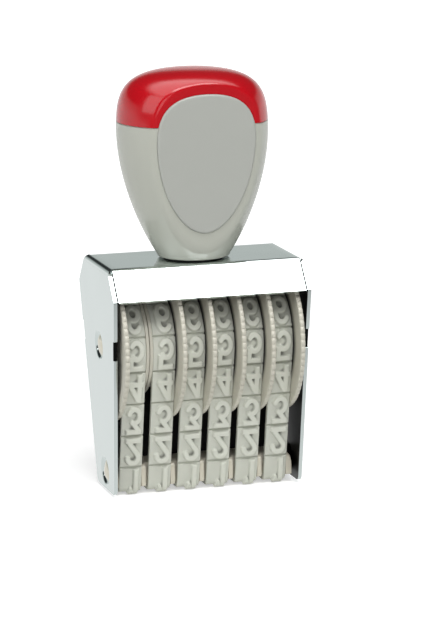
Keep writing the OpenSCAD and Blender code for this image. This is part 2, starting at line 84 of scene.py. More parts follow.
class Shape:
    """A mesh in the making: points in millimetres and the faces between them."""

    def __init__(self) -> None:
        """Starts with no points and no faces."""
        self.points: list[Array] = []
        self.faces: list[tuple[int, ...]] = []
        self.marks: list[int] = []
        # Each point's share of painted shade, where the piece has one.
        self.painted_shade: list[float] = []
        self.count = 0

    def add(self, points: Array, faces: Iterable[Sequence[int]], marks: Sequence[int] = ()) -> None:
        """Adds points and the faces that index them.

        Args:
            points: The points, one row each.
            faces: The faces, each a row of indices into points.
            marks: Each face's finish, 0 for the first and 1 for the second.
        """
        points = np.asarray(points, float).reshape(-1, 3)
        base = self.count
        self.points.append(points)
        self.faces.extend(tuple(int(i) + base for i in face) for face in faces)
        self.marks.extend(int(mark) for mark in marks)
        self.marks.extend([0] * (len(self.faces) - len(self.marks)))
        self.count += len(points)

    def grid(
        self, points: Array, wrap: bool = False, ring: bool = False, lined: Sequence[int] = ()
    ) -> None:
        """Adds a sheet of quads.

        Args:
            points: Points in rows and columns.
            wrap: Whether the last row joins the first.
            ring: Whether the last column joins the first.
            lined: The columns of quads that have the second finish.
        """
        rows, cols = points.shape[:2]
        index = np.arange(rows * cols).reshape(rows, cols)
        if wrap:
            index = np.vstack([index, index[:1]])
        if ring:
            index = np.hstack([index, index[:, :1]])
        cells = quads(index)
        marks = np.zeros(cells.shape[:2], int)
        marks[:, list(lined)] = 1
        self.add(points, cells.reshape(-1, 4), marks.reshape(-1))

    def mirrored(self, axis: int) -> None:
        """Adds a mirror image of what is there.

        Args:
            axis: The axis whose sign changes, 0 for X and 1 for Y.
        """
        points = np.vstack(self.points)
        points[:, axis] *= -1
        self.add(points, [face[::-1] for face in list(self.faces)], list(self.marks))


def quads(index: Array) -> Array:
    """The corners of each cell between rows and columns of indices."""
    return np.stack([index[:-1, :-1], index[:-1, 1:], index[1:, 1:], index[1:, :-1]], -1)


def rounded(corners: Sequence[tuple[float, float, float]], steps: int) -> Array:
    """Rounds the corners of a closed outline.

    Args:
        corners: Each corner as (a, b, radius).
        steps: Segments in each round.

    Returns:
        The outline's points, one (a, b) row each.
    """
    out: list[Array] = []
    total = len(corners)
    for i, (a, b, radius) in enumerate(corners):
        here = np.array([a, b], float)
        before = np.array(corners[i - 1][:2], float) - here
        after = np.array(corners[(i + 1) % total][:2], float) - here
        if radius <= 0:
            out.append(here)
            continue
        before /= np.linalg.norm(before)
        after /= np.linalg.norm(after)
        half = math.acos(float(np.clip(before @ after, -1, 1))) / 2
        reach = radius / math.tan(half)
        middle = (before + after) / np.linalg.norm(before + after)
        centre = here + middle * radius / math.sin(half)
        first, last = here + before * reach - centre, here + after * reach - centre
        start = math.atan2(first[1], first[0])
        turn = (math.atan2(last[1], last[0]) - start + math.pi) % (2 * math.pi) - math.pi
        for k in range(steps + 1):
            angle = start + turn * k / steps
            out.append(centre + radius * np.array([math.cos(angle), math.sin(angle)]))
    return np.array(out)


def revolved(
    profile: Array, steps: int, trim: Callable[[Array, Array], Array] | None = None
) -> Shape:
    """Turns a closed profile about the X axis.

    Args:
        profile: Rows of (radius, x).
        steps: Segments round the axis.
        trim: Gives the radii after trimming, from radii and angles.

    Returns:
        The turned shape.
    """
    angle = np.linspace(0, 2 * math.pi, steps, endpoint=False)
    radius = np.repeat(profile[:, :1], steps, 1)
    if trim:
        radius = trim(radius, np.broadcast_to(angle, radius.shape))
    x = np.repeat(profile[:, 1:], steps, 1)
    points = np.stack([x, radius * np.cos(angle), radius * np.sin(angle)], -1)
    shape = Shape()
    shape.grid(points, wrap=True, ring=True)
    return shape


class Sheet:
    """Both sides of a metal sheet in the making, point by point over each other."""

    def __init__(self) -> None:
        """Starts with no points and no faces."""
        self.outer: list[Array] = []
        self.inner: list[Array] = []
        self.faces: list[tuple[int, ...]] = []

    def add(self, outer: Array, inner: Array, faces: Iterable[Sequence[int]]) -> None:
        """Adds points to both sides, and the faces that index them.

        Args:
            outer: Points of the outer side, one row each.
            inner: The same points on the inner side.
            faces: The faces, each a row of indices into the points.
        """
        base = sum(len(part) for part in self.outer)
        self.outer.append(outer)
        self.inner.append(inner)
        self.faces.extend(tuple(int(i) + base for i in face) for face in faces)

    def grid(self, outer: Array, inner: Array) -> None:
        """Adds quads to both sides.

        Args:
            outer: Points of the outer side in rows and columns.
            inner: The same points on the inner side.
        """
        rows, cols = outer.shape[:2]
        index = np.arange(rows * cols).reshape(rows, cols)
        self.add(outer.reshape(-1, 3), inner.reshape(-1, 3), quads(index).reshape(-1, 4))

    def closed(self, gap: float) -> Shape:
        """Joins points that lie on each other and walls up the open edges.

        Args:
            gap: The distance within which points are joined.

        Returns:
            The closed sheet, its inner side marked for the second finish and its walls
            the last of its faces.
        """
        outer, inner = np.vstack(self.outer), np.vstack(self.inner)
        keys = np.round(outer / gap).astype(int)
        _, first, target = np.unique(keys, axis=0, return_index=True, return_inverse=True)
        target, total = target.reshape(-1), len(first)
        faces = [tuple(dict.fromkeys(int(target[i]) for i in face)) for face in self.faces]
        faces = [face for face in faces if len(face) > 2]
        back = [tuple(i + total for i in face[::-1]) for face in faces]
        edges = dict.fromkeys(edge for face in faces for edge in zip(face, face[1:] + face[:1]))
        walls = [(b, a, a + total, b + total) for a, b in edges if (b, a) not in edges]
        shape = Shape()
        marks = [0] * len(faces) + [1] * len(back)
        shape.add(np.vstack([outer[first], inner[first]]), [*faces, *back, *walls], marks)
        return shape


def cubic(control: Sequence[tuple[float, float]], t: Array) -> Array:
    """Points on a cubic curve.

    Args:
        control: The curve's four control points.
        t: Where the points lie, from 0 at the start to 1 at the end.

    Returns:
        The points, one row each.
    """
    p = np.array(control, float)[:, None, :]
    t = np.asarray(t, float)[:, None]
    u = 1 - t
    return u**3 * p[0] + 3 * t * u**2 * p[1] + 3 * t**2 * u * p[2] + t**3 * p[3]


def smooth(t: Array) -> Array:
    """A smooth step from 0 to 1."""
    t = np.clip(t, 0, 1)
    return t * t * (3 - 2 * t)


def distances(line: Array) -> Array:
    """How far along a line each of its points lies."""
    return np.concatenate([[0], np.cumsum(np.linalg.norm(np.diff(line, axis=0), axis=1))])


def walked(line: Array, at: Array) -> Array:
    """The points of a flat line at the given distances along it."""
    along = distances(line)
    return np.stack([np.interp(at, along, line[:, k]) for k in (0, 1)], -1)


# ---- finishes ------------------------------------------------------------


def srgb(code: str) -> tuple[float, float, float, float]:
    """Turns an sRGB hex colour to linear.

    Args:
        code: The colour, such as "B0B2AA".

    Returns:
        Linear red, green, blue and an alpha of 1.
    """
    parts = [int(code[i : i + 2], 16) / 255 for i in (0, 2, 4)]
    line = [c / 12.92 if c <= 0.04045 else ((c + 0.055) / 1.055) ** 2.4 for c in parts]
    return (line[0], line[1], line[2], 1.0)


def per_metre(size: float) -> float:
    """The scale of a pattern whose features are this many millimetres apart."""
    return 1 / (size * MM)


def add_node(
    tree: bpy.types.NodeTree, kind: str, inputs: dict | None = None, **settings: object
) -> bpy.types.Node:
    """Adds a node with its settings and its links.

    Args:
        tree: The node tree.
        kind: The node's type.
        inputs: A value, or a socket to link, for each named or numbered input.
        **settings: The node's own properties.

    Returns:
        The node.
    """
    node = tree.nodes.new(kind)
    for key, value in settings.items():
        setattr(node, key, value)
    for key, value in (inputs or {}).items():
        if isinstance(value, Socket):
            tree.links.new(value, node.inputs[key])
        else:
            node.inputs[key].default_value = value
    return node


def emptied(owner: bpy.types.Material | bpy.types.World) -> bpy.types.NodeTree:
    """Gives a material or a world an empty node tree.

    Args:
        owner: The material or the world.

    Returns:
        Its tree.
    """
    owner.use_nodes = True
    owner.node_tree.nodes.clear()
    return owner.node_tree


@dataclass(frozen=True)
class Finish:
    """A surface: its colour, its spread of tone, and its fine relief.

    The tone pattern moves the colour by a few parts in a hundred, and the grain
    pattern gives the relief and varies the gloss. Where a piece gives a share of painted
    shade, the shade's colour takes over by that share.
    """

    name: str
    colour: str
    second: str
    roughness: float
    ior: float = 1.5
    metallic: float = 0.0
    tone_mm: float = 6.0
    grain_mm: float = 0.5
    relief_mm: float = 0.01
    gloss_spread: float = 0.05
    wave_mm: float = 0.0
    wave_height_mm: float = 0.0
    # The colour of painted shade, if the finish takes any.
    painted_shade: str = ""

    def material(self) -> bpy.types.Material:
        """Builds the material once and hands it out again after that.

        Returns:
            The material.
        """
        found = bpy.data.materials.get(self.name)
        if found:
            return found
        made = bpy.data.materials.new(self.name)
        tree = emptied(made)
        drift = self.patterns(tree)
        inputs = {
            "Base Color": self.tone(tree, drift["tone"]),
            "Metallic": self.metallic,
            "Roughness": self.gloss(tree, drift["gloss"]),
            "Normal": self.relief(tree, drift),
        }
        if not self.metallic:
            inputs["IOR"] = self.ior
        surface = add_node(tree, "ShaderNodeBsdfPrincipled", inputs).outputs["BSDF"]
        add_node(tree, "ShaderNodeOutputMaterial", {"Surface": surface})
        made.diffuse_color = srgb(self.colour)
        return made

    def patterns(self, tree: bpy.types.NodeTree) -> dict[str, Socket]:
        """The patterns that the surface drifts with.

        Args:
            tree: The material's tree.

        Returns:
            A noise for the tone, the gloss, the grain and, where it has one, the wave.
        """
        place = add_node(tree, "ShaderNodeTexCoord").outputs["Object"]
        rows = (
            ("tone", self.tone_mm, 3),
            ("gloss", self.grain_mm * 4, 2),
            ("grain", self.grain_mm, 2),
            ("wave", self.wave_mm, 0),
        )
        return {
            name: add_node(
                tree, "ShaderNodeTexNoise",
                {"Vector": place, "Scale": per_metre(size), "Detail": detail},
            ).outputs["Fac"]
            for name, size, detail in rows if size
        }

    def tone(self, tree: bpy.types.NodeTree, drift: Socket) -> Socket:
        """The colour, drifting between the two given ones, and the painted shade over it.

        Args:
            tree: The material's tree.
            drift: The pattern that it drifts with.

        Returns:
            The colour.
        """
        inputs = {0: drift, 6: srgb(self.colour), 7: srgb(self.second)}
        bare_colour = add_node(tree, "ShaderNodeMix", inputs, data_type="RGBA").outputs[2]
        if not self.painted_shade:
            return bare_colour
        # Painted shade, by the share that each point of the mesh gives.
        shade_share = add_node(tree, "ShaderNodeAttribute", attribute_name="painted_shade").outputs["Fac"]
        inputs = {0: shade_share, 6: bare_colour, 7: srgb(self.painted_shade)}
        return add_node(tree, "ShaderNodeMix", inputs, data_type="RGBA").outputs[2]

    def gloss(self, tree: bpy.types.NodeTree, drift: Socket) -> Socket:
        """The roughness, varied by the grain.

        Args:
            tree: The material's tree.
            drift: The pattern that it varies with.

        Returns:
            The roughness.
        """
        inputs = {
            "Value": drift,
            "To Min": max(0.0, self.roughness - self.gloss_spread),
            "To Max": self.roughness + self.gloss_spread,
        }
        return add_node(tree, "ShaderNodeMapRange", inputs).outputs["Result"]

    def relief(self, tree: bpy.types.NodeTree, drift: dict[str, Socket]) -> Socket:
        """The fine grain, on a slow wave where the sheet has one.

        Args:
            tree: The material's tree.
            drift: The surface's patterns.

        Returns:
            The normal.
        """
        inputs = {"Height": drift["grain"], "Distance": self.relief_mm * MM}
        if self.wave_mm:
            wave = {"Height": drift["wave"], "Distance": self.wave_height_mm * MM}
            inputs["Normal"] = add_node(tree, "ShaderNodeBump", wave).outputs["Normal"]
        return add_node(tree, "ShaderNodeBump", inputs).outputs["Normal"]


# Bright chrome over nickel on pressed steel: a cool mirror with the slow waves
# that pressing leaves in thin sheet.
CHROME = Finish(
    "chromed_sheet_steel", "D6DEDC", "D0D8D6", 0.07, metallic=1.0, tone_mm=20, grain_mm=0.4,
    relief_mm=0.0008, gloss_spread=0.02, wave_mm=16, wave_height_mm=0.05,
)
# Painted shade: nickel made dark and dull for the inside of the sheet, the walls of the notches and
# the frame's broken edges, standing in for the shade there.
SHADED_INSIDE = Finish(
    "painted_shade_sheet_inside", "1E201F", "181A19", 0.34, metallic=1.0, tone_mm=9, grain_mm=0.5,
    relief_mm=0.003, gloss_spread=0.06,
)
# Peened mild steel with a nickel flash: bright and a little warm, with soft hammer marks.
RIVET = Finish(
    "peened_nickelled_steel", "E2DED0", "D2CDBE", 0.05, metallic=1.0, tone_mm=2, grain_mm=1.6,
    relief_mm=0.02, gloss_spread=0.03,
)
# Zinc-plated turned steel: satin, faintly blue.
ZINC = Finish(
    "zinc_plated_steel", "C4C6C8", "B4B6B9", 0.3, metallic=1.0, tone_mm=3, grain_mm=0.6,
    relief_mm=0.01, gloss_spread=0.08,
)
# Turned brass for the threaded insert.
BRASS = Finish(
    "turned_brass", "D9B36A", "C9A257", 0.28, metallic=1.0, tone_mm=3, grain_mm=0.4, relief_mm=0.01
)
# Injection-moulded cream ABS: satin, with a trace of flow marks. Its brownish black is painted
# shade, mixed in where a piece gives a share.
CREAM = Finish(
    "moulded_cream_abs", "CECBBE", "C6C3B5", 0.42, ior=1.53, tone_mm=5, grain_mm=0.5,
    relief_mm=0.01, painted_shade="151310",
)
# The same ABS in a yellower batch, for the bridge.
BRIDGE_CREAM = Finish(
    "moulded_ivory_abs", "D2CDBE", "CAC4B2", 0.35, ior=1.53, tone_mm=4, grain_mm=0.5,
    relief_mm=0.01,
)
# Vulcanised grey rubber, moulded: matt, with a powdery grain, which is drawn coarser than
# real powder so that it shows. Its dark olive is painted shade, laid where a piece says so.
RUBBER = Finish(
    "vulcanised_grey_rubber", "D8DACF", "D0D2C7", 0.72, ior=1.52, tone_mm=3, grain_mm=0.3,
    relief_mm=0.012, gloss_spread=0.08, painted_shade="26271F",
)
# The inner side of a band, painted black as shade, so that the inside of the frame stays dark where
# it shows between the bands.
SHADED_BACKING = Finish(
    "painted_shade_band_backing", "1B1B1B", "232322", 0.62, ior=1.5, tone_mm=3, grain_mm=0.5,
    relief_mm=0.03, gloss_spread=0.06,
)
# Glossy moulded ABS in light warm grey.
GREY = Finish(
    "moulded_grey_abs", "B8BAB0", "B4B6AC", 0.22, ior=1.53, tone_mm=14, grain_mm=0.8,
    relief_mm=0.004, gloss_spread=0.03,
)
# Glossy moulded ABS in signal red.
RED = Finish(
    "moulded_red_abs", "C0101C", "B80E1A", 0.16, ior=1.53, tone_mm=14, grain_mm=0.8,
    relief_mm=0.004, gloss_spread=0.03,
)
# The badge's plate is the same ABS with a fine satin face.
BADGE = Finish(
    "satin_grey_abs", "B0B2AC", "ADAFA9", 0.42, ior=1.53, tone_mm=10, grain_mm=0.3,
    relief_mm=0.006, gloss_spread=0.04,
)
# Black EPDM rubber for the washer under the handle.
BLACK = Finish(
    "black_epdm_rubber", "141414", "1A1A1A", 0.6, ior=1.52, tone_mm=2, grain_mm=0.3, relief_mm=0.01
)


# ---- pieces --------------------------------------------------------------


def as_piece(
    name: str,
    shape: Shape,
    finish: Finish,
    nodes: Sequence[str],
    body: str = "stamp",
    crease: float = 40,
    bevel: float = 0.0,
    second: Finish | None = None,
) -> bpy.types.Object:
    """Turns a shape into a dressed piece that rides on a body.

    Args:
        name: The piece's name.
        shape: Its mesh in millimetres.
        finish: Its surface.
        nodes: The solids it stands for.
        body: The body it rides on.
        crease: Angle in degrees above which an edge stays sharp.
        bevel: Width in millimetres by which sharp edges are broken.
        second: The surface of the faces marked for it.

    Returns:
        The piece.
    """
    mesh = bpy.data.meshes.new(name)
    mesh.from_pydata((np.vstack(shape.points) * MM).tolist(), [], shape.faces)
    for used in [finish, second] if second else [finish]:
        mesh.materials.append(used.material())
    mesh.polygons.foreach_set("material_index", shape.marks if second else [0] * len(shape.faces))
    # Each point's share of painted shade goes to the mesh as an attribute.
    if shape.painted_shade:
        mesh.attributes.new("painted_shade", "FLOAT", "POINT").data.foreach_set("value", shape.painted_shade)
    work = bmesh.new()
    work.from_mesh(mesh)
    bmesh.ops.remove_doubles(work, verts=work.verts, dist=WELD_M)
    bmesh.ops.recalc_face_normals(work, faces=work.faces)
    work.to_mesh(mesh)
    work.free()
    mesh.polygons.foreach_set("use_smooth", [True] * len(mesh.polygons))
    mesh.set_sharp_from_angle(angle=math.radians(crease))
    made = bpy.data.objects.new(name, mesh)
    bpy.context.scene.collection.objects.link(made)
    if bevel:
        cut = made.modifiers.new("broken_edges", "BEVEL")
        cut.width = bevel * MM
        cut.segments = 3
        cut.limit_method = "ANGLE"
        cut.angle_limit = math.radians(crease)
        cut.harden_normals = True
        # The broken edges take the second finish where there is one; on the frame that paints them
        # dark as shade.
        cut.material = 1 if second else -1
    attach(made, body)
    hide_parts(*nodes)
    LOG.info("%s: %d faces on %s", name, len(mesh.polygons), body)
    return made


def dress_node(frame: dict, node: str, finish: Finish) -> None:
    """Gives a carried-over solid its finish.

    Args:
        frame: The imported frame.
        node: The solid's name.
        finish: Its surface.
    """
    mesh = frame["nodes"][node].data
    mesh.materials.clear()
    mesh.materials.append(finish.material())
    LOG.info("%s keeps its solid, in %s", node, finish.name)


# ---- frame ---------------------------------------------------------------


@dataclass
class FoldedFrame:
    """The pressed sheet: a top plate, two flaps and two side plates.

    The left plate leans in towards its foot, as far as lean says. A dimple round each
    end of the axle and of the rod takes its rivet's head.
    """

    height: float = 65.0
    half_w: float = 28.0
    sheet: float = SHEET
    fold: float = 1.6
    top_y: float = 12.5
    waist_y: float = 19.0
    waist_z: float = 57.0
    foot_y: float = 9.2
    foot_z: float = 0.9
    foot_round: float = 1.8
    slit: float = 0.45
    axle_z: float = AXLE_Z
    rod_z: float = ROD_Z
    dimple_r: float = 4.3
    dimple_floor_r: float = 2.9
    dimple_depth: float = 0.8
    hole_r: float = 1.5
    hole_margin: float = 0.98
    notch_h: float = 5.4
    notch_depth: float = 0.8
    notch_rise: float = 1.3
    waist_round: float = 0.5
    notch_lip: float = 0.15
    notch_root: float = 0.25
    lean: float = 1.8
    # How fine the mesh is, and how close points lie that are joined.
    rows: int = 24
    columns: int = 30
    flap_rows: int = 9
    widening_rows: int = 5
    flap_steps: int = 7
    side_steps: int = 9
    corner_steps: int = 5
    ring_points: int = 48
    rings: tuple[float, ...] = (1.9, 2.3, 2.6, 2.8, 3.0, 3.2, 3.4, 3.6, 3.8, 4.0, 4.2, 4.4, 4.7)
    weld: float = 0.002

    def edge_y(self, z: float) -> float:
        """Half the depth of a side plate.

        Args:
            z: The height, above or below the waist.

        Returns:
            The distance from the middle to the plate's edge.
        """
        if z > self.waist_z:
            share = (z - self.waist_z) / (self.height - self.waist_z)
            return self.waist_y + (self.top_y - self.waist_y) * share
        share = (z - self.foot_z) / (self.waist_z - self.foot_z)
        return self.foot_y + (self.waist_y - self.foot_y) * share

    def outline(self) -> list[tuple[float, float]]:
        """The side plate below its fold.

        Returns:
            Rows of (y, z) from the front top corner down and round.
        """
        top = self.height - self.fold
        low, high = self.notch()
        cut = self.notch_depth
        corners = [
            (-self.edge_y(top), top, 0.0),
            (-self.waist_y, self.waist_z, self.waist_round),
            (-self.edge_y(high), high, self.notch_lip),
            (-self.edge_y(high) + cut, high, self.notch_root),
            (-self.edge_y(low) + cut, low, self.notch_root),
            (-self.edge_y(low), low, self.notch_lip),
            (-self.foot_y, self.foot_z, self.foot_round),
        ]
        corners += [(-y, z, r) for y, z, r in reversed(corners)]
        return [tuple(p) for p in rounded(corners, self.corner_steps)]

    def notch(self) -> tuple[float, float]:
        """The lower and upper ends of the notch in a side plate's edge."""
        low = self.axle_z + self.notch_rise - self.notch_h / 2
        return low, low + self.notch_h

    def plate(self) -> tuple[Array, Array, list[tuple[int, ...]]]:
        """One side plate with its pressed dimples.

        Returns:
            Outer points, inner points and faces of the plate on the +X side.
        """
        edge = self.outline()
        top = [p for p in edge if p[1] > self.height - self.fold - HAIR]
        width = abs(top[0][0])
        across = [(width - 2 * width * i / self.rows, edge[0][1]) for i in range(1, self.rows)]
        points = edge + across
        loop = list(range(len(points)))
        edges = list(zip(loop, loop[1:] + loop[:1]))
        count = self.ring_points
        turn = [2 * math.pi * i / count for i in range(count)]
        holes = (self.axle_z, self.rod_z)
        for z in holes:
            for radius in (self.hole_r, *self.rings):
                base = len(points)
                points += [(radius * math.cos(a), z + radius * math.sin(a)) for a in turn]
                edges += [(base + i, base + (i + 1) % count) for i in range(count)]
        flat, _, found, *_ = delaunay_2d_cdt([Vector(p) for p in points], edges, [], 1, HAIR)
        at = np.array([tuple(v) for v in flat])
        inside = self.hole_r * self.hole_margin
        keep = []
        for face in found:
            middle = at[list(face)].mean(0)
            if all(math.hypot(middle[0], middle[1] - z) >= inside for z in holes):
                keep.append(tuple(face))
        sink = np.zeros(len(at))
        span = self.dimple_r - self.dimple_floor_r
        for z in holes:
            distance = np.hypot(at[:, 0], at[:, 1] - z)
            sink = np.maximum(sink, self.dimple_depth * smooth((self.dimple_r - distance) / span))
        outer = np.stack([self.half_w - sink, at[:, 0], at[:, 1]], -1)
        inner = outer - np.array([self.sheet, 0, 0])
        return outer, inner, keep

    def bent(self) -> tuple[Array, Array]:
        """The top plate with both flaps, as rows from front to back.

        Returns:
            Outer and inner points of the +X half, in rows and columns.
        """
        angle = math.atan2(self.height - self.waist_z, self.waist_y - self.top_y)
        start = self.top_y - self.fold * math.tan(angle / 2)
        centre = (start, self.height - self.fold)
        outer, inner = [], []
        for turn in (angle * i / self.flap_steps for i in range(self.flap_steps + 1)):
            for out, radius in ((outer, self.fold), (inner, self.fold - self.sheet)):
                out.append((centre[0] + radius * math.sin(turn),
                            centre[1] + radius * math.cos(turn)))
        tip = np.array([self.waist_y, self.waist_z])
        normal = np.array([math.sin(angle), math.cos(angle)])
        for share in (0.5, 1.0):
            for out, depth in ((outer, 0.0), (inner, self.sheet)):
                base = np.array(centre) + (self.fold - depth) * normal
                end = tip - depth * normal
                out.append(tuple(base + (end - base) * share))
        flats = [start - 2 * start * i / self.rows for i in range(1, self.rows)]
        joined = []
        for out, z in ((outer, self.height), (inner, self.height - self.sheet)):
            front = [(-y, h) for y, h in reversed(out)]
            middle = [(-y, z) for y in flats]
            joined.append(np.array(front + middle + out))
        return joined[0], joined[1]

    def add_top(self, sheet: Sheet) -> Array:
        """Adds the top plate and both flaps, which widen below the fold.

        Args:
            sheet: The sheet in the making.

        Returns:
            The y of each row that meets the folds of the side plates.
        """
        strip, under = self.bent()
        start_x = self.half_w - self.fold
        wide = self.half_w - self.sheet - self.slit
        limit = np.full(len(strip), start_x)
        grow = smooth(np.arange(self.flap_rows) / self.widening_rows)
        limit[: self.flap_rows] = start_x + (wide - start_x) * grow[::-1]
        limit[-self.flap_rows :] = start_x + (wide - start_x) * grow
        across = limit[:, None] * np.linspace(-1, 1, self.columns + 1)[None, :]
        sides = [np.repeat(side[:, None, :], self.columns + 1, 1) for side in (strip, under)]
        sheet.grid(*(np.concatenate([across[..., None], side], -1) for side in sides))
        return strip[self.flap_rows - 1 : len(strip) - self.flap_rows + 1, 0]

    def add_side(self, sheet: Sheet, side: int, lines: Array) -> None:
        """Adds a side plate and the fold above it.

        Args:
            sheet: The sheet in the making.
            side: -1 for the left and 1 for the right.
            lines: The y of each row of the top plate that meets the fold.
        """
        start_x, start_z = self.half_w - self.fold, self.height - self.fold
        reach = abs(lines[0])
        outer, inner = [], []
        for i in range(self.side_steps + 1):
            turn = math.pi / 2 * i / self.side_steps
            half = reach if i == 0 else self.edge_y(start_z + self.fold * math.cos(turn))
            for out, radius in ((outer, self.fold), (inner, self.fold - self.sheet)):
                x, z = start_x + radius * math.sin(turn), start_z + radius * math.cos(turn)
                out.append([(side * x, y * half / reach, z) for y in lines])
        sheet.grid(np.array(outer)[:, ::-side], np.array(inner)[:, ::-side])
        points, back, faces = self.plate()
        points[:, 0] *= side
        back[:, 0] *= side
        sheet.add(points, back, [face[::side] for face in faces])

    def build(self) -> Shape:
        """Joins the top, the flaps and the side plates, and leans the left plate in.

        Returns:
            One closed sheet, its inner side and the notches marked for the second finish, which
            paints them dark as shade.
        """
        sheet = Sheet()
        lines = self.add_top(sheet)
        for side in (-1, 1):
            self.add_side(sheet, side, lines)
        for part in sheet.outer + sheet.inner:
            share = np.clip(1 - part[:, 2] / self.waist_z, 0, 1)
            part[:, 0] += np.where(part[:, 0] < 0, self.lean * share, 0)
        shape = sheet.closed(self.weld)
        points = np.vstack(shape.points)
        low, high = self.notch()
        # The walls of the notches take the second finish, painted dark as shade.
        for i in range(2 * sum(shape.marks), len(shape.faces)):
            middle = points[list(shape.faces[i])].mean(0)
            if abs(middle[1]) > self.foot_y and low < middle[2] < high:
                shape.marks[i] = 1
        return shape

    def dress(self) -> None:
        """Builds the piece."""
        # The second finish is painted shade on the inside, the notch walls and the broken edges.
        as_piece("folded_frame", self.build(), CHROME, ["frame"], crease=30, bevel=0.2,
                 second=SHADED_INSIDE)


@dataclass
class RivetedShaft:
    """A shaft across the frame with a peened head at each end.

    Its left end follows the side plate inwards, as far as lean says.
    """

    name: str
    node: str
    radius: float
    neck: float
    height: float
    shoulder: float = 26.2
    head_r: float = 3.2
    head_h: float = 1.1
    sheet: float = SHEET
    lean: float = 0.0
    # The hammer's dents: their number, their depth and how fast they follow on each other.
    dents: int = 6
    dent_depth: float = 0.02
    dent_turns: float = 2.1
    dent_shift: float = 5.0
    # How fine the mesh is.
    segments: int = 64
    dome_steps: int = 8

    def dress(self, rng: np.random.Generator) -> None:
        """Builds the piece, its heads a little uneven from the hammer.

        Args:
            rng: The random numbers that place the dents.
        """
        floor = self.shoulder + self.sheet
        dome = (self.head_r**2 + self.head_h**2) / (2 * self.head_h)
        half = math.asin(self.head_r / dome)
        head = []
        for i in range(self.dome_steps + 1):
            angle = half * (1 - i / self.dome_steps)
            rise = self.head_h - dome * (1 - math.cos(angle))
            head.append((dome * math.sin(angle), floor + rise))
        end = [(self.radius, self.shoulder), (self.neck, self.shoulder), (self.neck, floor), *head]
        profile = np.array(end + [(r, -x) for r, x in reversed(end)])
        shape = revolved(profile, self.segments)
        points = shape.points[0]
        outside = np.abs(points[:, 0]) > floor + self.dent_depth
        for direction in rng.normal(size=(self.dents, 3)):
            unit = direction / np.linalg.norm(direction)
            wave = np.sin(points @ unit * self.dent_turns + direction[0] * self.dent_shift)
            inwards = np.sign(points[outside, 0]) * self.dent_depth
            points[outside, 0] -= inwards * (1 + wave[outside])
        points[points[:, 0] < 0, 0] += self.lean
        points[:, 2] += self.height
        as_piece(self.name, shape, RIVET, [self.node], crease=50)


AXLE_RIVETS = RivetedShaft("axle_rivets", "axle", radius=2.0, neck=1.5, height=AXLE_Z, lean=0.48)
ROD_RIVETS = RivetedShaft("rod_rivets", "bridge_rod", radius=1.5, neck=1.5, height=ROD_Z, lean=1.61)


# ---- wheels --------------------------------------------------------------


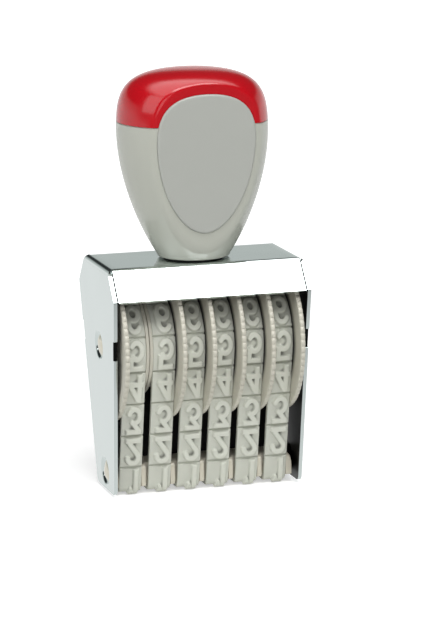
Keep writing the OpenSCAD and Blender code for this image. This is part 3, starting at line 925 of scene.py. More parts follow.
@dataclass
class FingerWheel:
    """A cream wheel: a drum for the band, a low guide flange and a ridged finger flange.

    Wheel 1 is turned round, so that its finger flange is the leftmost. Painted shade darkens the
    inner side of that flange round the band, and thins out between the shaded radii; a faint even
    share lies on the rest.
    """

    number: int
    pitch: float = PITCH
    band_x0: float = BAND_X0
    band_w: float = BAND_W
    axle_z: float = AXLE_Z
    flange_r: float = 21.4
    rim_w: float = 1.3
    rim_in: float = 18.3
    web: float = 0.95
    guide_r: float = 14.2
    guide: float = 0.85
    drum_r: float = 12.55
    bore: float = 2.05
    hub_r: float = 4.2
    drum_in: float = 11.25
    play: float = 0.05
    hollow_stop: float = 0.2
    soft: float = 0.15
    guide_round: float = 0.06
    drum_round: float = 0.1
    inner_round: float = 0.35
    outer_round: float = 0.5
    step: float = 0.6
    step_round: float = 0.3
    ridges: int = 72
    ridge_h: float = 0.34
    ridge_depth: float = 0.62
    ridge_fade: float = 0.3
    ridge_power: float = 0.7
    # Painted shade on the finger flange's inner side by the band: full inside the first radius,
    # none past the last, a faint even share elsewhere, and its reach across the wheel.
    shaded_radii: tuple[float, float] = (14.6, 17.0)
    even_share: float = 0.03
    shade_edge: tuple[float, float] = (0.3, 0.2)
    # How fine the mesh is: segments to a ridge and to a round, and rings that hold the painted
    # shade.
    per_ridge: int = 8
    round_steps: int = 5
    face_rings: tuple[float, ...] = (13.6, 14.6, 15.3, 16.0, 16.7, 17.4, 18.1, 18.8, 19.8)

    def ridged(self, radius: Array, angle: Array) -> Array:
        """Cuts the finger ridges into the rim.

        Args:
            radius: Radii of the plain profile.
            angle: Angles round the axle.

        Returns:
            The radii after the cut.
        """
        near = smooth((radius - (self.flange_r - self.ridge_depth)) / self.ridge_fade)
        lift = np.abs(np.cos(angle * self.ridges / 2)) ** self.ridge_power
        return radius - near * self.ridge_h * (1 - lift)

    def dress(self, rng: np.random.Generator) -> None:
        """Builds the piece, turned to where its ridges happen to stand.

        Args:
            rng: The random numbers that turn it.
        """
        seat = self.band_w + self.play
        left = -self.play - self.guide
        profile = rounded(
            [
                (self.bore, left, self.soft),
                (self.hub_r, left, self.soft),
                (self.hub_r, seat - self.hollow_stop, self.hollow_stop),
                (self.drum_in, seat - self.hollow_stop, self.hollow_stop),
                (self.drum_in, left, self.soft),
                (self.guide_r, left, self.guide_round),
                (self.guide_r, -self.play, self.guide_round),
                (self.drum_r, -self.play, self.drum_round),
                (self.drum_r, seat, self.drum_round),
                *((radius, seat, 0.0) for radius in self.face_rings),
                (self.flange_r, seat, self.inner_round),
                (self.flange_r, seat + self.rim_w, self.outer_round),
                (self.rim_in, seat + self.rim_w, self.step_round),
                (self.rim_in - self.step, seat + self.web, self.step_round),
                (self.bore, seat + self.web, self.soft),
            ],
            self.round_steps,
        )
        shape = revolved(profile, self.ridges * self.per_ridge, self.ridged)
        points = shape.points[0]
        radius = np.hypot(points[:, 1], points[:, 2])
        # Painted shade: darkest on the flange's inner side next to the band, fading outwards.
        first, last = self.shaded_radii
        before, behind = self.shade_edge
        inward = (points[:, 0] > self.band_w - before) & (points[:, 0] < seat + behind)
        painted_shade = np.where(inward, smooth((last - radius) / (last - first)), self.even_share)
        shape.painted_shade = painted_shade.tolist()
        if self.number == 1:
            points[:, 0] = self.band_w - points[:, 0]
        turn = rng.uniform(0, 2 * math.pi / self.ridges)
        y, z = points[:, 1].copy(), points[:, 2].copy()
        points[:, 1] = y * math.cos(turn) - z * math.sin(turn)
        points[:, 2] = y * math.sin(turn) + z * math.cos(turn) + self.axle_z
        points[:, 0] += self.band_x0 + (self.number - 1) * self.pitch
        node = f"wheel_{self.number}"
        as_piece(f"finger_{node}", shape, CREAM, [node], body=node, crease=60)


# ---- bands ---------------------------------------------------------------


class Mark(Enum):
    """The characters round a band, in the order of its cells."""

    ZERO = 0
    ONE = 1
    TWO = 2
    THREE = 3
    FOUR = 4
    FIVE = 5
    SIX = 6
    SEVEN = 7
    EIGHT = 8
    NINE = 9
    DASH = 10
    STOP = 11
    SLASH = 12
    BLANK = 13


@dataclass(frozen=True)
class Bar:
    """A straight stroke with square ends, each given by its middle."""

    start: tuple[float, float]
    end: tuple[float, float]

    def distance(self, at: Array, stroke: float) -> Array:
        """How far points lie from the stroke.

        Args:
            at: The points.
            stroke: The stroke's width.

        Returns:
            The distances, below 0 inside it.
        """
        a, b = np.array(self.start, float), np.array(self.end, float)
        along = (b - a) / np.linalg.norm(b - a)
        middle, half = (a + b) / 2, np.linalg.norm(b - a) / 2
        rel = at - middle
        u = np.abs(rel @ along) - half
        v = np.abs(rel @ np.array([-along[1], along[0]])) - stroke / 2
        outside = np.hypot(np.maximum(u, 0), np.maximum(v, 0))
        return outside + np.minimum(np.maximum(u, v), 0)


@dataclass(frozen=True)
class Bow:
    """A curved stroke with round ends, along an ellipse between two angles in degrees."""

    centre: tuple[float, float]
    rx: float
    ry: float
    start: float = 0.0
    end: float = 360.0
    points: int = 25

    def distance(self, at: Array, stroke: float) -> Array:
        """How far points lie from the stroke.

        Args:
            at: The points.
            stroke: The stroke's width.

        Returns:
            The distances, below 0 inside it.
        """
        angle = np.radians(np.linspace(self.start, self.end, self.points))
        reach = np.stack([self.rx * np.cos(angle), self.ry * np.sin(angle)], -1)
        line = np.array(self.centre) + reach
        best = np.full(at.shape[:-1], np.inf)
        for a, b in zip(line[:-1], line[1:]):
            step = b - a
            t = np.clip((at - a) @ step / (step @ step), 0, 1)
            best = np.minimum(best, np.linalg.norm(at - a - t[..., None] * step, axis=-1))
        return best - stroke / 2


@dataclass
class Lettering:
    """Bold block characters, each a set of bars and bows.

    Their points are shares of w and h, the strokes' reach from the middle. The lower bow
    of 3, 5 and 6 rises to the height that its bowl field gives.
    """

    height: float = 7.9
    width: float = 4.2
    stroke: float = 1.12
    three_bowl: float = 0.7
    three_knee: float = 0.75
    five_bowl: float = 0.75
    five_stem: float = 0.1
    six_bowl: float = 0.4
    far: float = 9.0

    def characters(self) -> dict[Mark, list[Bar | Bow]]:
        """Draws the characters.

        Returns:
            The strokes of each, but for the blank and for 9, which is a 6 turned over.
        """
        half = self.stroke / 2
        w, h = self.width / 2 - half, self.height / 2 - half
        m, crest, bend = h / 2, h - w * 1.1, h - w * 1.2
        bowls = (self.three_bowl, self.five_bowl, self.six_bowl)
        three, five, six = ((h + bowl) / 2 for bowl in bowls)
        return {
            Mark.ZERO: [Bow((0, 0), w, h)],
            Mark.ONE: [
                Bar((w * 0.75, -h - half), (w * 0.75, h + half)),
                Bar((-w * 0.45, h - w * 1.15), (w * 0.7, h)),
            ],
            Mark.TWO: [
                Bow((0, crest), w, w * 1.1, 178, -30),
                Bar((w * 0.87, crest - w * 0.55), (-w * 0.8, -h + half)),
                Bar((-w - half, -h), (w + half, -h)),
            ],
            Mark.THREE: [
                Bar((-w - half, h), (w + half * 0.8, h)),
                Bar((w * 0.85, h - half * 0.6), (-w * 0.15, self.three_knee)),
                Bow((0, self.three_bowl - three), w, three, 108, -160),
            ],
            Mark.FOUR: [
                Bar((w * 0.75, h + half), (w * 0.75, -h - half)),
                Bar((w * 0.55, h), (-w * 0.95, -m * 0.6)),
                Bar((-w - half * 0.8, -m * 0.75), (w + half, -m * 0.75)),
            ],
            Mark.FIVE: [
                Bar((-w - half, h), (w + half * 0.6, h)),
                Bar((-w, h), (-w, self.five_stem)),
                Bow((0, self.five_bowl - five), w, five, 132, -146),
            ],
            Mark.SIX: [
                Bow((0, self.six_bowl - six), w, six),
                Bar((-w, self.six_bowl - six), (-w, bend)),
                Bow((0, bend), w, w * 1.2, 180, 25),
            ],
            Mark.SEVEN: [
                Bar((-w - half, h), (w + half, h)),
                Bar((w, h), (-w * 0.5, -h - half)),
            ],
            Mark.EIGHT: [
                Bow((0, m * 1.05), w * 0.85, h - m * 1.05),
                Bow((0, -m * 0.95), w, h - m * 0.95),
            ],
            Mark.DASH: [Bar((-w, 0), (w, 0))],
            Mark.STOP: [Bar((0, -h), (0, -h + self.stroke))],
            Mark.SLASH: [Bar((-w, -h), (w, h))],
        }

    def distance(self, mark: Mark, at: Array) -> Array:
        """How far points lie from a character.

        Args:
            mark: The character.
            at: Points on its cell, upright and centred.

        Returns:
            The distances in millimetres, below 0 inside it and far off for a blank.
        """
        if mark is Mark.NINE:
            mark, at = Mark.SIX, -at
        found = [np.full(at.shape[:-1], self.far)]
        found += [part.distance(at, self.stroke) for part in self.characters().get(mark, [])]
        return np.minimum.reduce(found)


@dataclass
class DigitBand:
    """An endless rubber band with a raised character on each of its cells.

    It runs flat under the bridge, round a tight turn on either side, straight up and
    over the drum. Each cell is a pad with a gap to the next one.
    """

    number: int
    pitch: float = PITCH
    band_x0: float = BAND_X0
    width: float = BAND_W
    axle_z: float = AXLE_Z
    loop_r: float = 12.7
    turn_y: float = 4.5
    turn_r: float = 0.5
    belt: float = 0.7
    pad: float = 0.7
    relief: float = 0.8
    cells: int = 14
    cell_gap: float = 0.5
    shift: float = 2.4
    edge_round: float = 0.25
    draft: float = 0.38
    pad_slope: float = 0.2
    foot_round: float = 0.12
    glyph_x: float = 0.35
    # How fine the mesh is. At the tight turns, and a margin past them, each step is split.
    step: float = 0.16
    brink: float = 0.05
    turn_margin: float = 0.4
    turn_split: int = 3
    # Painted shade in the recesses: the steps within which strokes count as a crowd, and the shares
    # that follow.
    shade_reach: int = 9
    shade_least: float = 0.1
    shade_more: float = 0.55
    crowd_from: float = 0.36
    crowd_span: float = 0.3
    shade_fade: float = 0.7
    lettering: Lettering = field(default_factory=Lettering)

    def __post_init__(self) -> None:
        """Works out the loop that the belt follows."""
        self.face_z = self.belt + self.pad + self.relief
        self.turn_z = self.face_z + self.turn_r
        self.neutral = self.belt / 2
        reach = (-self.turn_y, self.axle_z - self.turn_z)
        far = math.hypot(*reach)
        grow = self.loop_r - self.turn_r
        self.slant = math.atan2(reach[1], reach[0]) - math.acos(-grow / far)
        self.run_l = math.sqrt(far**2 - grow**2)
        self.turn_l = (self.turn_r + self.neutral) * (self.slant + math.pi / 2)
        self.wrap_l = (self.loop_r + self.neutral) * (math.pi - 2 * self.slant)
        self.length = 2 * (self.turn_y + self.turn_l + self.run_l) + self.wrap_l
        self.cell = self.length / self.cells

    def place(self, s: Array, e: Array) -> tuple[Array, Array]:
        """Where a point of the belt lies.

        Args:
            s: Distance round the loop from the middle of the underside.
            e: Height above the belt's inner face.

        Returns:
            Y and Z of each point.
        """
        front = s <= self.length / 2
        d = np.where(front, s, self.length - s)
        a = -math.pi / 2 + (d - self.turn_y) / (self.turn_r + self.neutral)
        after = d - self.turn_y - self.turn_l
        b = self.slant + (after - self.run_l) / (self.loop_r + self.neutral)
        cos, sin = math.cos(self.slant), math.sin(self.slant)
        zones = [d <= self.turn_y, after <= 0, after <= self.run_l]
        u = np.select(
            zones,
            [
                d,
                self.turn_y + (self.turn_r + e) * np.cos(a),
                self.turn_y + (self.turn_r + e) * cos - after * sin,
            ],
            (self.loop_r + e) * np.cos(b),
        )
        z = np.select(
            zones,
            [
                self.face_z - e,
                self.turn_z + (self.turn_r + e) * np.sin(a),
                self.turn_z + (self.turn_r + e) * sin + after * cos,
            ],
            self.axle_z + (self.loop_r + e) * np.sin(b),
        )
        return np.where(front, -u, u), z

    def stations(self) -> Array:
        """Where the mesh has a row.

        Returns:
            Distances round the loop, closer together at the tight turns.
        """
        edges = np.arange(0, self.length, self.step)
        d = np.minimum(edges, self.length - edges)
        first, last = self.turn_y - self.turn_margin, self.turn_y + self.turn_l + self.turn_margin
        tight = (d > first) & (d < last)
        split = self.turn_split
        extra = [edges[tight] + self.step * k / split for k in range(1, split)]
        return np.unique(np.concatenate([edges, *extra]))

    def surface(self, x: Array, s: Array) -> tuple[Array, Array]:
        """The rubber's outer side at places across and round it.

        Args:
            x: Distance from the band's middle.
            s: Distance round the loop.

        Returns:
            The height over the inner face in millimetres, and the share of painted shade,
            which darkens the low parts, most where raised strokes crowd round.
        """
        turned = (s + self.shift + self.cell / 2) % self.length
        index = np.floor(turned / self.cell).astype(int) % self.cells
        v = turned - index * self.cell - self.cell / 2
        edge = self.cell / 2 - self.cell_gap / 2 - np.abs(v)
        top = self.belt + self.pad * smooth(edge / self.pad_slope + 0.5)
        lift = np.zeros_like(top)
        for mark in Mark:
            here = index == mark.value
            at = np.stack([x[here] - self.glyph_x, -v[here]], -1)
            away = self.lettering.distance(mark, at)
            lift[here] = smooth(1 - away / self.draft)
        # Painted shade: the low parts darken a little everywhere, and most in the counters and
        # where strokes crowd, fading towards the cell's edge.
        crowd = np.zeros_like(top)
        reach = self.shade_reach
        steps = [(i, j) for i in range(-reach, reach + 1) for j in range(-reach, reach + 1)
                 if i * i + j * j <= reach * reach]
        columns = np.arange(top.shape[1])
        for i, j in steps:
            beside = np.clip(columns + j, 0, top.shape[1] - 1)
            crowd += np.roll(lift, i, 0)[:, beside] / len(steps)
        crowded = smooth((crowd - self.crowd_from) / self.crowd_span)
        inland = smooth(edge / self.shade_fade)
        painted_shade = (1 - lift) * (self.shade_least + self.shade_more * crowded * inland)
        inset = np.clip(self.edge_round - (self.width / 2 - np.abs(x)), 0, self.edge_round)
        drop = self.edge_round - np.sqrt(np.maximum(self.edge_round**2 - inset**2, 0))
        return top + self.relief * lift - drop, painted_shade

    def dress(self) -> None:
        """Builds the piece: the rubber's outer side and its inner side, painted black as shade."""
        half = self.width / 2
        cols = np.linspace(-half, half, int(self.width / self.step) + 2)
        cols = np.sort(np.concatenate([cols, [-half + self.brink, half - self.brink]]))
        s = self.stations()
        x, along = np.meshgrid(cols, s)
        top, painted_shade = self.surface(x, along)
        foot = np.array([-half, -half + self.foot_round, 0, half - self.foot_round, half])
        inner = np.array([self.foot_round, 0, 0, 0, self.foot_round])
        x = np.hstack([x, np.repeat(foot[::-1][None], len(s), 0)])
        e = np.hstack([top, np.repeat(inner[::-1][None], len(s), 0)])
        y, z = self.place(np.repeat(s[:, None], x.shape[1], 1), e)
        x = x + self.band_x0 + half + (self.number - 1) * self.pitch
        shape = Shape()
        # The inner side takes the second finish, painted black as shade.
        lined = range(len(cols), len(cols) + len(foot) - 1)
        shape.grid(np.stack([x, y, z], -1), wrap=True, ring=True, lined=lined)
        shape.painted_shade = np.hstack([painted_shade, np.zeros((len(s), len(foot)))]).reshape(-1).tolist()
        node = f"band_{self.number}"
        as_piece(f"digit_{node}", shape, RUBBER, [node], crease=70, second=SHADED_BACKING)


# ---- bridge --------------------------------------------------------------


@dataclass
class Bridge:
    """The moulded comb that backs the printing cells and keeps the bands apart.

    It is lofted along X. Between two bands a rib stands out towards the front and the
    back, and so do both end blocks. Its left end stops at the leaning side plate.
    """

    half_l: float = 25.9
    half_d: float = 4.95
    low: float = 2.25
    high: float = 8.45
    corner: float = 1.6
    turn: float = 0.5
    bore: float = 1.55
    rod_z: float = ROD_Z
    pitch: float = PITCH
    first_rib: float = -17.7
    rib: float = 1.2
    reach: float = 1.6
    proud: float = 0.04
    block: float = 24.3
    left_share: float = 0.12
    # Segments in each round.
    steps: int = 8

    def section(self, out: float, inset: float) -> Array:
        """The comb's outline across its length.

        Args:
            out: How far it stands out to the front and the back.
            inset: How far its top is drawn down.

        Returns:
            Rows of (y, z).
        """
        far = self.half_d + out
        step = self.proud if out else 0.0
        floor = self.low - step
        top = self.high + step - inset
        corners = [(-far, floor, self.turn), (far, floor, self.turn),
                   (far, top, self.corner), (-far, top, self.corner)]
        return rounded(corners, self.steps)

    def dress(self) -> None:
        """Builds the piece as a loft of rounded sections."""
        ends = [math.pi / 2 * i / self.steps for i in range(self.steps + 1)]
        rows = [(self.half_l - self.corner * (1 - math.sin(turn)), self.reach,
                 self.corner * (1 - math.cos(turn))) for turn in reversed(ends)]
        rows += [(self.block, self.reach, 0.0), (self.block, 0.0, 0.0)]
        rows = [(-x, out, inset) for x, out, inset in rows]
        tail = [(-x, out, inset) for x, out, inset in reversed(rows)]
        for k in range(BANDS - 1):
            left = self.first_rib + k * self.pitch
            rows += [(left, 0.0, 0.0), (left, self.reach, 0.0),
                     (left + self.rib, self.reach, 0.0), (left + self.rib, 0.0, 0.0)]
        loops = []
        for x, out, inset in rows + tail:
            section = self.section(out, inset)
            loops.append(np.column_stack([np.full(len(section), x), section]))
        section = self.section(0.0, 0.0)
        angle = np.arctan2(section[:, 1] - self.rod_z, section[:, 0])
        hole = self.bore * np.stack([np.cos(angle), np.sin(angle)], -1) + [0, self.rod_z]
        first = np.column_stack([np.full(len(hole), -self.half_l), hole])
        last = first.copy()
        last[:, 0] *= -1
        shape = Shape()
        shape.grid(np.array([*loops, last, first]), wrap=True, ring=True)
        points = shape.points[0]
        outside = points[:, 0] < -self.block
        points[outside, 0] = -self.block + (points[outside, 0] + self.block) * self.left_share
        as_piece("bridge_comb", shape, BRIDGE_CREAM, ["bridge"], crease=40, bevel=0.12)


# ---- handle --------------------------------------------------------------


@dataclass
class Handle:
    """A moulded grip of two shells whose leaning flat faces each hold a badge.

    The curves flare, crown, badge_lower and badge_upper are cubic, and give a radius or
    an x, and a height above the foot.
    """

    seat: float = 65.4
    height: float = 52.0
    split: float = 37.8
    low_half: float = 11.4
    high_half: float = 15.8
    blend: float = 0.9
    foot_r: float = 10.2
    foot_round: float = 0.8
    foot_flat: float = 5.0
    foot_turn: tuple[float, float] = (-90.0, -8.0)
    foot_steps: int = 7
    flare: tuple = ((10.2, 0.8), (14.6, 7.5), (20.9, 21.5), (20.9, 35.5))
    crown: tuple = ((20.9, 35.5), (20.9, 47.0), (18.5, 52.0), (0.0, 52.0))
    badge_lower: tuple = ((0.0, 8.0), (6.95, 8.0), (13.9, 20.0), (13.9, 34.0))
    badge_upper: tuple = ((13.9, 34.0), (13.9, 42.4), (9.3, 46.4), (0.0, 46.4))
    recess: float = 0.8
    groove: float = 0.08
    proud: float = 0.5
    rim: float = 0.6
    drop: float = 0.45
    lip: float = 0.35
    lip_low: float = 0.34
    lip_high: float = 0.05
    # The badge's recess, as (how far in, how deep): its broken edge, its wall and its floor.
    brink: tuple[tuple[float, float], ...] = ((0.02, 0.02), (0.05, 0.08))
    wall_in: float = 0.05
    floor_in: float = 2.0
    # How fine the mesh is.
    badge_flat: tuple[float, float] = (0.5, 1.2)
    badge_points: int = 161
    rim_steps: int = 6
    pace: float = 0.5
    crowding: float = 0.012
    crowd_on_flat: int = 14
    crowd_beyond: int = 8
    split_gap: float = 0.3
    columns: int = 34
    column_power: float = 1.6
    blend_rounds: int = 40
    face_steps: int = 4
    curve_points: int = 6001
    oval_points: int = 400
    on_flat: float = 1e-3
    crease: float = 38.0

    def face(self, height: Array) -> Array:
        """Half the distance between the flat faces at a height above the foot."""
        return self.low_half + (self.high_half - self.low_half) * height / self.height

    def on_face(self, line: Array, out: float) -> Array:
        """Places a line of (x, height) on the front face.

        Args:
            line: The line's points on the face.
            out: How far the result stands out from the face.

        Returns:
            The points in space.
        """
        lean = math.atan((self.high_half - self.low_half) / self.height)
        y = -self.face(line[:, 1]) - out * math.cos(lean)
        z = self.seat + line[:, 1] - out * math.sin(lean)
        return np.stack([line[:, 0], y, z], -1)

    def profile(self) -> Array:
        """The grip's profile.

        The rows crowd where the flat faces begin and end, and one lies on the
        parting line.

        Returns:
            Rows of radius and height, from the foot to the crown.
        """
        t = np.linspace(0, 1, self.curve_points)
        line = np.vstack([cubic(self.flare, t), cubic(self.crown, t)[1:]])
        along = distances(line)
        spare = line[:, 0] - self.blend - self.face(line[:, 1])
        inside = np.flatnonzero(spare > 0)
        first, last = along[inside[0]], along[inside[-1]]
        close = self.crowding * np.arange(self.crowd_on_flat) ** 2
        beyond = close[: self.crowd_beyond]
        parting, gap = np.interp(self.split, line[:, 1], along), self.split_gap
        rows = np.unique(np.concatenate([
            np.arange(0, along[-1], self.pace), [along[-1], parting - gap, parting, parting + gap],
            first + close, first - beyond, last - close, last + beyond,
        ]))
        rows = np.array([at for at in rows if at == parting or abs(at - parting) > gap / 2])
        turn = np.radians(np.linspace(*self.foot_turn, self.foot_steps))
        foot = np.stack([self.foot_r - self.foot_round + self.foot_round * np.cos(turn),
                         self.foot_round + self.foot_round * np.sin(turn)], -1)
        return np.vstack([[[0.0, 0.0]], [[self.foot_flat, 0.0]], foot, walked(line, rows)])

    def reach(self, rows: Array, angle: Array) -> Array:
        """How far the rounded surface lies from the middle line.

        Args:
            rows: Rows of the profile.
            angle: The angles from the +X side, one row for each profile row.

        Returns:
            The distances, with the edge between the turned side and the flat blended.
        """
        radius, flat = rows[:, :1], self.face(rows[:, 1:])
        sine = np.sin(angle)
        rho = np.minimum(radius, flat / np.maximum(sine, HAIR))
        for _ in range(self.blend_rounds):
            a, b = rho - radius, rho * sine - flat
            near = np.maximum(self.blend - np.abs(a - b), 0) / self.blend
            rho = rho - (np.maximum(a, b) + near**2 * self.blend / 4)
        return np.maximum(rho, 0)

    def quarter(self, rows: Array) -> Array:
        """The turned surface between +X and the front flat.

        Args:
            rows: Rows of the profile.

        Returns:
            Points in rows and columns.
        """
        inner = np.maximum(rows[:, 0] - self.blend, HAIR)
        share = np.minimum(self.face(rows[:, 1]) / inner, 1)
        spread = 1 - (1 - np.linspace(0, 1, self.columns)) ** self.column_power
        angle = np.arcsin(share)[:, None] * spread[None]
        rho = self.reach(rows, angle)
        z = np.repeat(rows[:, 1:], self.columns, 1) + self.seat
        return np.stack([rho * np.cos(angle), -rho * np.sin(angle), z], -1)

    def oval(self, grow: float) -> Array:
        """The badge's outline on the +X side, from its lower tip to its upper end.

        Args:
            grow: The distance by which it is moved outwards.

        Returns:
            Rows of x and height on the face.
        """
        t = np.linspace(0, 1, self.oval_points)
        line = np.vstack([cubic(self.badge_lower, t), cubic(self.badge_upper, t)[1:]])
        way = np.gradient(line, axis=0)
        normal = np.stack([way[:, 1], -way[:, 0]], -1)
        normal /= np.linalg.norm(normal, axis=1)[:, None]
        normal[0], normal[-1] = (0, -1), (0, 1)
        moved = line + normal * grow
        moved[:, 0] = np.maximum(moved[:, 0], 0)
        return moved

    def half_oval(self, grow: float, below: bool, shares: Array) -> Array:
        """The part of an oval on one side of the parting line.

        Args:
            grow: The distance by which the oval is moved outwards.
            below: Whether the part is the one below the line.
            shares: Where its points lie, as shares of its length.

        Returns:
            The points, those of the lowest share first.
        """
        line = self.oval(grow)
        cross = [np.interp(self.split, line[:, 1], line[:, 0]), self.split]
        low = line[line[:, 1] < self.split - HAIR]
        high = line[line[:, 1] > self.split + HAIR]
        line = np.vstack([low, cross]) if below else np.vstack([cross, high])
        return walked(line, shares * distances(line)[-1])

    def shell(self, rows: Array, below: bool) -> Shape:
        """One shell of the grip as a closed mesh.

        Args:
            rows: The shell's rows of the profile.
            below: Whether it is the shell below the parting line.

        Returns:
            The shell.
        """
        shape = Shape()
        end = -1 if below else 0
        rows = rows.copy()
        rows[end, 1] += -self.lip_low if below else self.lip_high
        quarter = self.quarter(rows)
        shape.grid(quarter)
        held = rows[:, 0] - self.blend - self.face(rows[:, 1]) > -self.on_flat
        edge = quarter[held, -1]
        edge[np.argmin(edge[:, 0]), 0] = 0
        crease = np.stack([edge[:, 0], edge[:, 2] - self.seat], -1)
        along = distances(crease)
        shares = along / along[-1]
        brink = self.half_oval(self.groove, below, shares)
        strips = [self.on_face(crease + (brink - crease) * k / self.face_steps, 0)
                  for k in range(self.face_steps + 1)]
        wall = (*self.brink, (self.wall_in, self.recess), (self.floor_in, self.recess))
        for shrink, depth in wall:
            strips.append(self.on_face(self.half_oval(self.groove - shrink, below, shares), -depth))
        grid = np.array(strips)
        grid[0] = edge
        grid[:, end, 2] = edge[end, 2]
        shape.grid(grid)
        middle = grid[-1].copy()
        middle[:, 0] = 0
        shape.grid(np.array([grid[-1], middle]))
        rim = np.vstack([quarter[end], grid[1:, end], middle[end][None]])
        bevel = rim.copy()
        bevel[:, :2] *= 1 - self.lip / np.maximum(np.hypot(rim[:, 0], rim[:, 1]), 1)[:, None]
        bevel[:, 2] = self.seat + self.split
        hub = np.tile([0.0, 0.0, self.seat + self.split], (len(rim), 1))
        shape.grid(np.array([rim, bevel, hub]))
        shape.mirrored(0)
        shape.mirrored(1)
        return shape

    def badge(self) -> Shape:
        """The front badge.

        Returns:
            An oval plate with a rounded edge.
        """
        turn = np.linspace(0, math.pi / 2, self.rim_steps)
        levels = [(0.0, -self.recess), (0.0, self.proud - self.drop)]
        levels += [(-self.rim * (1 - math.cos(a)), self.proud - self.drop * (1 - math.sin(a)))
                   for a in turn[1:]]
        levels += [(-self.rim - inwards, self.proud) for inwards in self.badge_flat]
        kept = np.linspace(0, len(self.oval(0)) - 1, self.badge_points).astype(int)
        strips = [self.on_face(self.oval(grow)[kept], out) for grow, out in levels]
        shape = Shape()
        grid = np.array(strips)
        shape.grid(grid)
        for edge in (grid[0], grid[-1]):
            middle = edge.copy()
            middle[:, 0] = 0
            shape.grid(np.array([edge, middle]))
        shape.mirrored(0)
        return shape

    def dress(self) -> None:
        """Builds both shells and both badges."""
        rows = self.profile()
        body = rows[rows[:, 1] <= self.split + HAIR]
        cap = rows[rows[:, 1] >= self.split - HAIR]
        for name, rows, below, finish in (("body", body, True, GREY), ("cap", cap, False, RED)):
            node = f"handle_{name}"
            as_piece(f"grip_{name}", self.shell(rows, below), finish, [node],
                     crease=self.crease)
        for name, sign in (("badge_front", 1), ("badge_back", -1)):
            plate = self.badge()
            for points in plate.points:
                points[:, 1] *= sign
            as_piece(f"plain_{name}", plate, BADGE, [name], crease=self.crease)


# ---- studio --------------------------------------------------------------


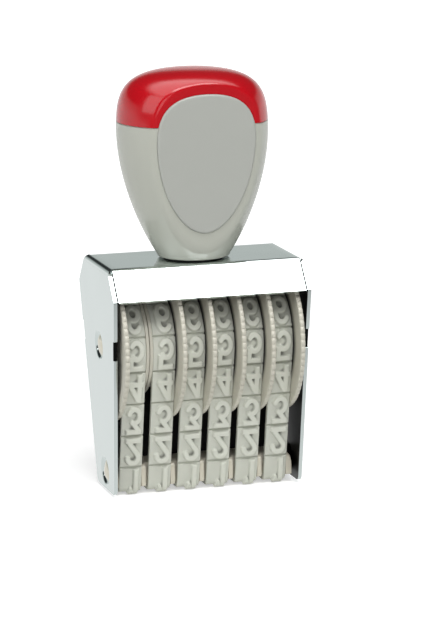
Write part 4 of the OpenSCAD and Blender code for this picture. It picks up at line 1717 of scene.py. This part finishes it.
@dataclass
class Studio:
    """The camera, the floor, the backdrop and the soft lamps.

    The camera's sizes are millimetres, degrees and pixels of its image. The floor's and
    the lamps' are metres and watts. A tone by height runs from the horizon, at 0, up to
    the zenith, at 1.
    """

    # The camera.
    yaw: float = 16.48
    pitch: float = 11.34
    roll: float = -0.64
    target: tuple[float, float, float] = (5.91, 0.0, 48.78)
    distance: float = 866.7
    focal_px: float = 3115.0
    centre_px: float = 214.7
    image: tuple[int, int] = (425, 624)
    sensor_mm: float = 36.0
    view_end: float = 50.0
    # The floor: what the camera sees, what matt pieces get back and what gloss mirrors.
    floor_half: float = 6.0
    floor_white: str = "F4F4F4"
    bounce: str = "F4F4F2"
    glow: float = 0.48
    glow_from: float = 0.15
    glow_to: float = 0.9
    mirrored_white: str = "FDFEFE"
    mirrored_from: float = -0.35
    mirrored_to: float = 0.05
    mirrored_least: float = 0.12
    mirrored_most: float = 0.93
    # The room: its light on matt pieces, and the tones behind and before that gloss mirrors.
    room: float = 0.36
    room_white: str = "F4F6F7"
    room_way: tuple[float, float, float] = (0.1, -0.6, 0.8)
    room_from: float = -0.2
    room_least: float = 0.08
    ceiling_from: float = 0.68
    ceiling_to: float = 0.8
    ceiling_most: float = 2.4
    behind: tuple[tuple[float, str], ...] = (
        (0.0, "FFFFFF"), (0.05, "EEF0F0"), (0.12, "D0D5D3"), (0.205, "BAC0BE"),
        (0.28, "303434"), (0.68, "303434"), (0.78, "FFFFFF"), (1.0, "FFFFFF"),
    )
    in_front: tuple[tuple[float, str], ...] = (
        (0.0, "8C9090"), (0.1, "5C6060"), (0.25, "303434"),
        (0.68, "303434"), (0.78, "FFFFFF"), (1.0, "FFFFFF"),
    )
    # The lamps: what they face, and the name, place, side and power of each.
    lamp_aim: tuple[float, float, float] = (0.0, 0.0, 0.06)
    lamps: tuple[tuple[str, tuple[float, float, float], float, float], ...] = (
        ("front_overhead_softbox", (0.05, -0.5, 0.95), 0.75, 8.6),
        ("left_softbox", (-0.92, -0.16, 0.58), 0.7, 3.0),
        ("left_front_softbox", (-0.4, -1.0, 0.3), 0.5, 1.2),
    )

    def camera(self) -> None:
        """Sets the camera, turned a little against the frame."""
        yaw, pitch, roll = (math.radians(a) for a in (self.yaw, self.pitch, self.roll))
        forward = Vector((math.sin(yaw) * math.cos(pitch), math.cos(yaw) * math.cos(pitch),
                          -math.sin(pitch)))
        right = Vector((math.cos(yaw), -math.sin(yaw), 0))
        up = right.cross(forward)
        side = right * math.cos(roll) + up * math.sin(roll)
        top = up * math.cos(roll) - right * math.sin(roll)
        data = bpy.data.cameras.new("view")
        data.sensor_fit = "VERTICAL"
        data.sensor_height = self.sensor_mm
        data.lens = self.focal_px / self.image[1] * self.sensor_mm
        data.clip_end = self.view_end
        data.shift_x = -(self.centre_px - self.image[0] / 2) / self.image[1]
        camera = bpy.data.objects.new("view", data)
        turn = Matrix((side, top, -forward)).transposed().to_4x4()
        place = Vector(self.target) * MM - forward * self.distance * MM
        camera.matrix_world = Matrix.Translation(place) @ turn
        bpy.context.scene.collection.objects.link(camera)
        bpy.context.scene.camera = camera

    def world(self) -> None:
        """Sets the backdrop: white to the camera, a dim room to matt pieces, tones to gloss."""
        world = bpy.data.worlds.new("studio")
        bpy.context.scene.world = world
        tree = emptied(world)
        way = add_node(tree, "ShaderNodeTexCoord").outputs["Generated"]
        parts = add_node(tree, "ShaderNodeSeparateXYZ", {"Vector": way}).outputs
        side = add_node(
            tree, "ShaderNodeMapRange",
            {"Value": parts["Y"], "From Min": 0.0, "From Max": 0.5},
            interpolation_type="SMOOTHSTEP",
        ).outputs["Result"]
        in_front = self.by_height(tree, parts["Z"], self.in_front)
        behind = self.by_height(tree, parts["Z"], self.behind)
        tint = add_node(
            tree, "ShaderNodeMix", {0: side, 6: in_front, 7: behind}, data_type="RGBA"
        ).outputs[2]
        ceiling = add_node(
            tree, "ShaderNodeMapRange",
            {"Value": parts["Z"], "From Min": self.ceiling_from, "From Max": self.ceiling_to,
             "To Min": 1.0, "To Max": self.ceiling_most},
        ).outputs["Result"]
        mirrored = add_node(
            tree, "ShaderNodeBackground", {"Color": tint, "Strength": ceiling}
        ).outputs[0]
        aim = add_node(
            tree, "ShaderNodeVectorMath", {0: way, 1: self.room_way}, operation="DOT_PRODUCT"
        ).outputs["Value"]
        share = add_node(
            tree, "ShaderNodeMapRange",
            {"Value": aim, "From Min": self.room_from, "From Max": 1.0,
             "To Min": self.room_least, "To Max": 1.0},
        ).outputs["Result"]
        strength = add_node(
            tree, "ShaderNodeMath", {0: share, 1: self.room}, operation="MULTIPLY"
        ).outputs[0]
        room = add_node(
            tree, "ShaderNodeBackground", {"Color": srgb(self.room_white), "Strength": strength}
        ).outputs[0]
        white = add_node(tree, "ShaderNodeBackground", {"Color": srgb("FFFFFF")}).outputs[0]
        both = self.by_ray(tree, white, mirrored, room)
        add_node(tree, "ShaderNodeOutputWorld", {"Surface": both})

    @staticmethod
    def by_height(tree: bpy.types.NodeTree, height: Socket,
                  stops: Sequence[tuple[float, str]]) -> Socket:
        """The tone that gloss sees at each height.

        Args:
            tree: The world's tree.
            height: The height of the way that a ray goes.
            stops: Heights and their tones.

        Returns:
            The tone.
        """
        node = add_node(tree, "ShaderNodeValToRGB", {"Fac": height})
        found = node.color_ramp.elements
        found[0].position, found[0].color = stops[0][0], srgb(stops[0][1])
        found[1].position, found[1].color = stops[-1][0], srgb(stops[-1][1])
        for place, code in stops[1:-1]:
            found.new(place).color = srgb(code)
        return node.outputs["Color"]

    @staticmethod
    def by_ray(tree: bpy.types.NodeTree, seen: Socket, mirrored: Socket, other: Socket) -> Socket:
        """Chooses among three shaders by where a ray comes from.

        Args:
            tree: The tree.
            seen: The shader for rays from the camera.
            mirrored: The shader for rays that gloss or glass sends on.
            other: The shader for all other rays.

        Returns:
            The chosen shader.
        """
        path = add_node(tree, "ShaderNodeLightPath").outputs
        sent_on = add_node(
            tree, "ShaderNodeMath",
            {0: path["Is Glossy Ray"], 1: path["Is Transmission Ray"]}, operation="MAXIMUM",
        ).outputs[0]
        unseen = add_node(
            tree, "ShaderNodeMixShader", {0: sent_on, 1: other, 2: mirrored}
        ).outputs[0]
        return add_node(
            tree, "ShaderNodeMixShader", {0: path["Is Camera Ray"], 1: unseen, 2: seen}
        ).outputs[0]

    def floor(self) -> None:
        """Lays a matt white floor that keeps the stamp's shadow."""
        made = bpy.data.materials.new("white_paper_floor")
        tree = emptied(made)
        matt = add_node(
            tree, "ShaderNodeBsdfDiffuse", {"Color": srgb(self.floor_white)}
        ).outputs[0]
        dull = add_node(tree, "ShaderNodeBsdfDiffuse", {"Color": srgb(self.bounce)}).outputs[0]
        spot = add_node(tree, "ShaderNodeTexCoord").outputs["Object"]
        depth = add_node(tree, "ShaderNodeSeparateXYZ", {"Vector": spot}).outputs["Y"]
        far = add_node(
            tree, "ShaderNodeMapRange",
            {"Value": depth, "From Min": self.glow_from, "From Max": self.glow_to,
             "To Min": self.glow, "To Max": 1.0},
        ).outputs["Result"]
        glow = add_node(
            tree, "ShaderNodeEmission", {"Color": srgb("FFFFFF"), "Strength": far}
        ).outputs[0]
        lit = add_node(tree, "ShaderNodeAddShader", {0: matt, 1: glow}).outputs[0]
        level = add_node(
            tree, "ShaderNodeMapRange",
            {"Value": depth, "From Min": self.mirrored_from, "From Max": self.mirrored_to,
             "To Min": self.mirrored_least, "To Max": self.mirrored_most},
            interpolation_type="SMOOTHSTEP",
        ).outputs["Result"]
        plain = add_node(
            tree, "ShaderNodeEmission", {"Color": srgb(self.mirrored_white), "Strength": level}
        ).outputs[0]
        both = self.by_ray(tree, lit, plain, dull)
        add_node(tree, "ShaderNodeOutputMaterial", {"Surface": both})
        mesh = bpy.data.meshes.new("floor")
        half = self.floor_half
        corners = [(-half, -half, 0), (half, -half, 0), (half, half, 0), (-half, half, 0)]
        mesh.from_pydata(corners, [], [(0, 1, 2, 3)])
        mesh.materials.append(made)
        floor = bpy.data.objects.new("floor", mesh)
        bpy.context.scene.collection.objects.link(floor)

    def lamp(self, name: str, place: tuple[float, float, float], size: float, power: float) -> None:
        """Hangs a square softbox that faces the stamp.

        Args:
            name: The lamp's name.
            place: Where it hangs, in metres.
            size: The length of its side in metres.
            power: Its power in watts.
        """
        data = bpy.data.lights.new(name, "AREA")
        data.size = size
        data.energy = power
        lamp = bpy.data.objects.new(name, data)
        aim = Vector(self.lamp_aim) - Vector(place)
        turn = aim.to_track_quat("-Z", "Y").to_matrix().to_4x4()
        lamp.matrix_world = Matrix.Translation(place) @ turn
        bpy.context.scene.collection.objects.link(lamp)

    def build(self) -> None:
        """Sets up everything that isn't the stamp."""
        self.camera()
        self.world()
        self.floor()
        for name, place, size, power in self.lamps:
            self.lamp(name, place, size, power)
        bpy.context.scene.view_settings.view_transform = "Standard"
        LOG.info("studio set")


def main() -> None:
    """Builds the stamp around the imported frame."""
    logging.basicConfig(level=logging.INFO, format="%(name)s %(message)s")
    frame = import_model()
    rng = np.random.default_rng(SEED)
    Studio().build()
    FoldedFrame().dress()
    AXLE_RIVETS.dress(rng)
    ROD_RIVETS.dress(rng)
    for number in range(1, BANDS + 1):
        FingerWheel(number).dress(rng)
        DigitBand(number).dress()
    Bridge().dress()
    Handle().dress()
    for node in ("axle_washer_left", "axle_washer_right", "handle_stud"):
        dress_node(frame, node, ZINC)
    dress_node(frame, "handle_insert", BRASS)
    dress_node(frame, "handle_seat_washer", BLACK)


if __name__ == "__main__":
    main()
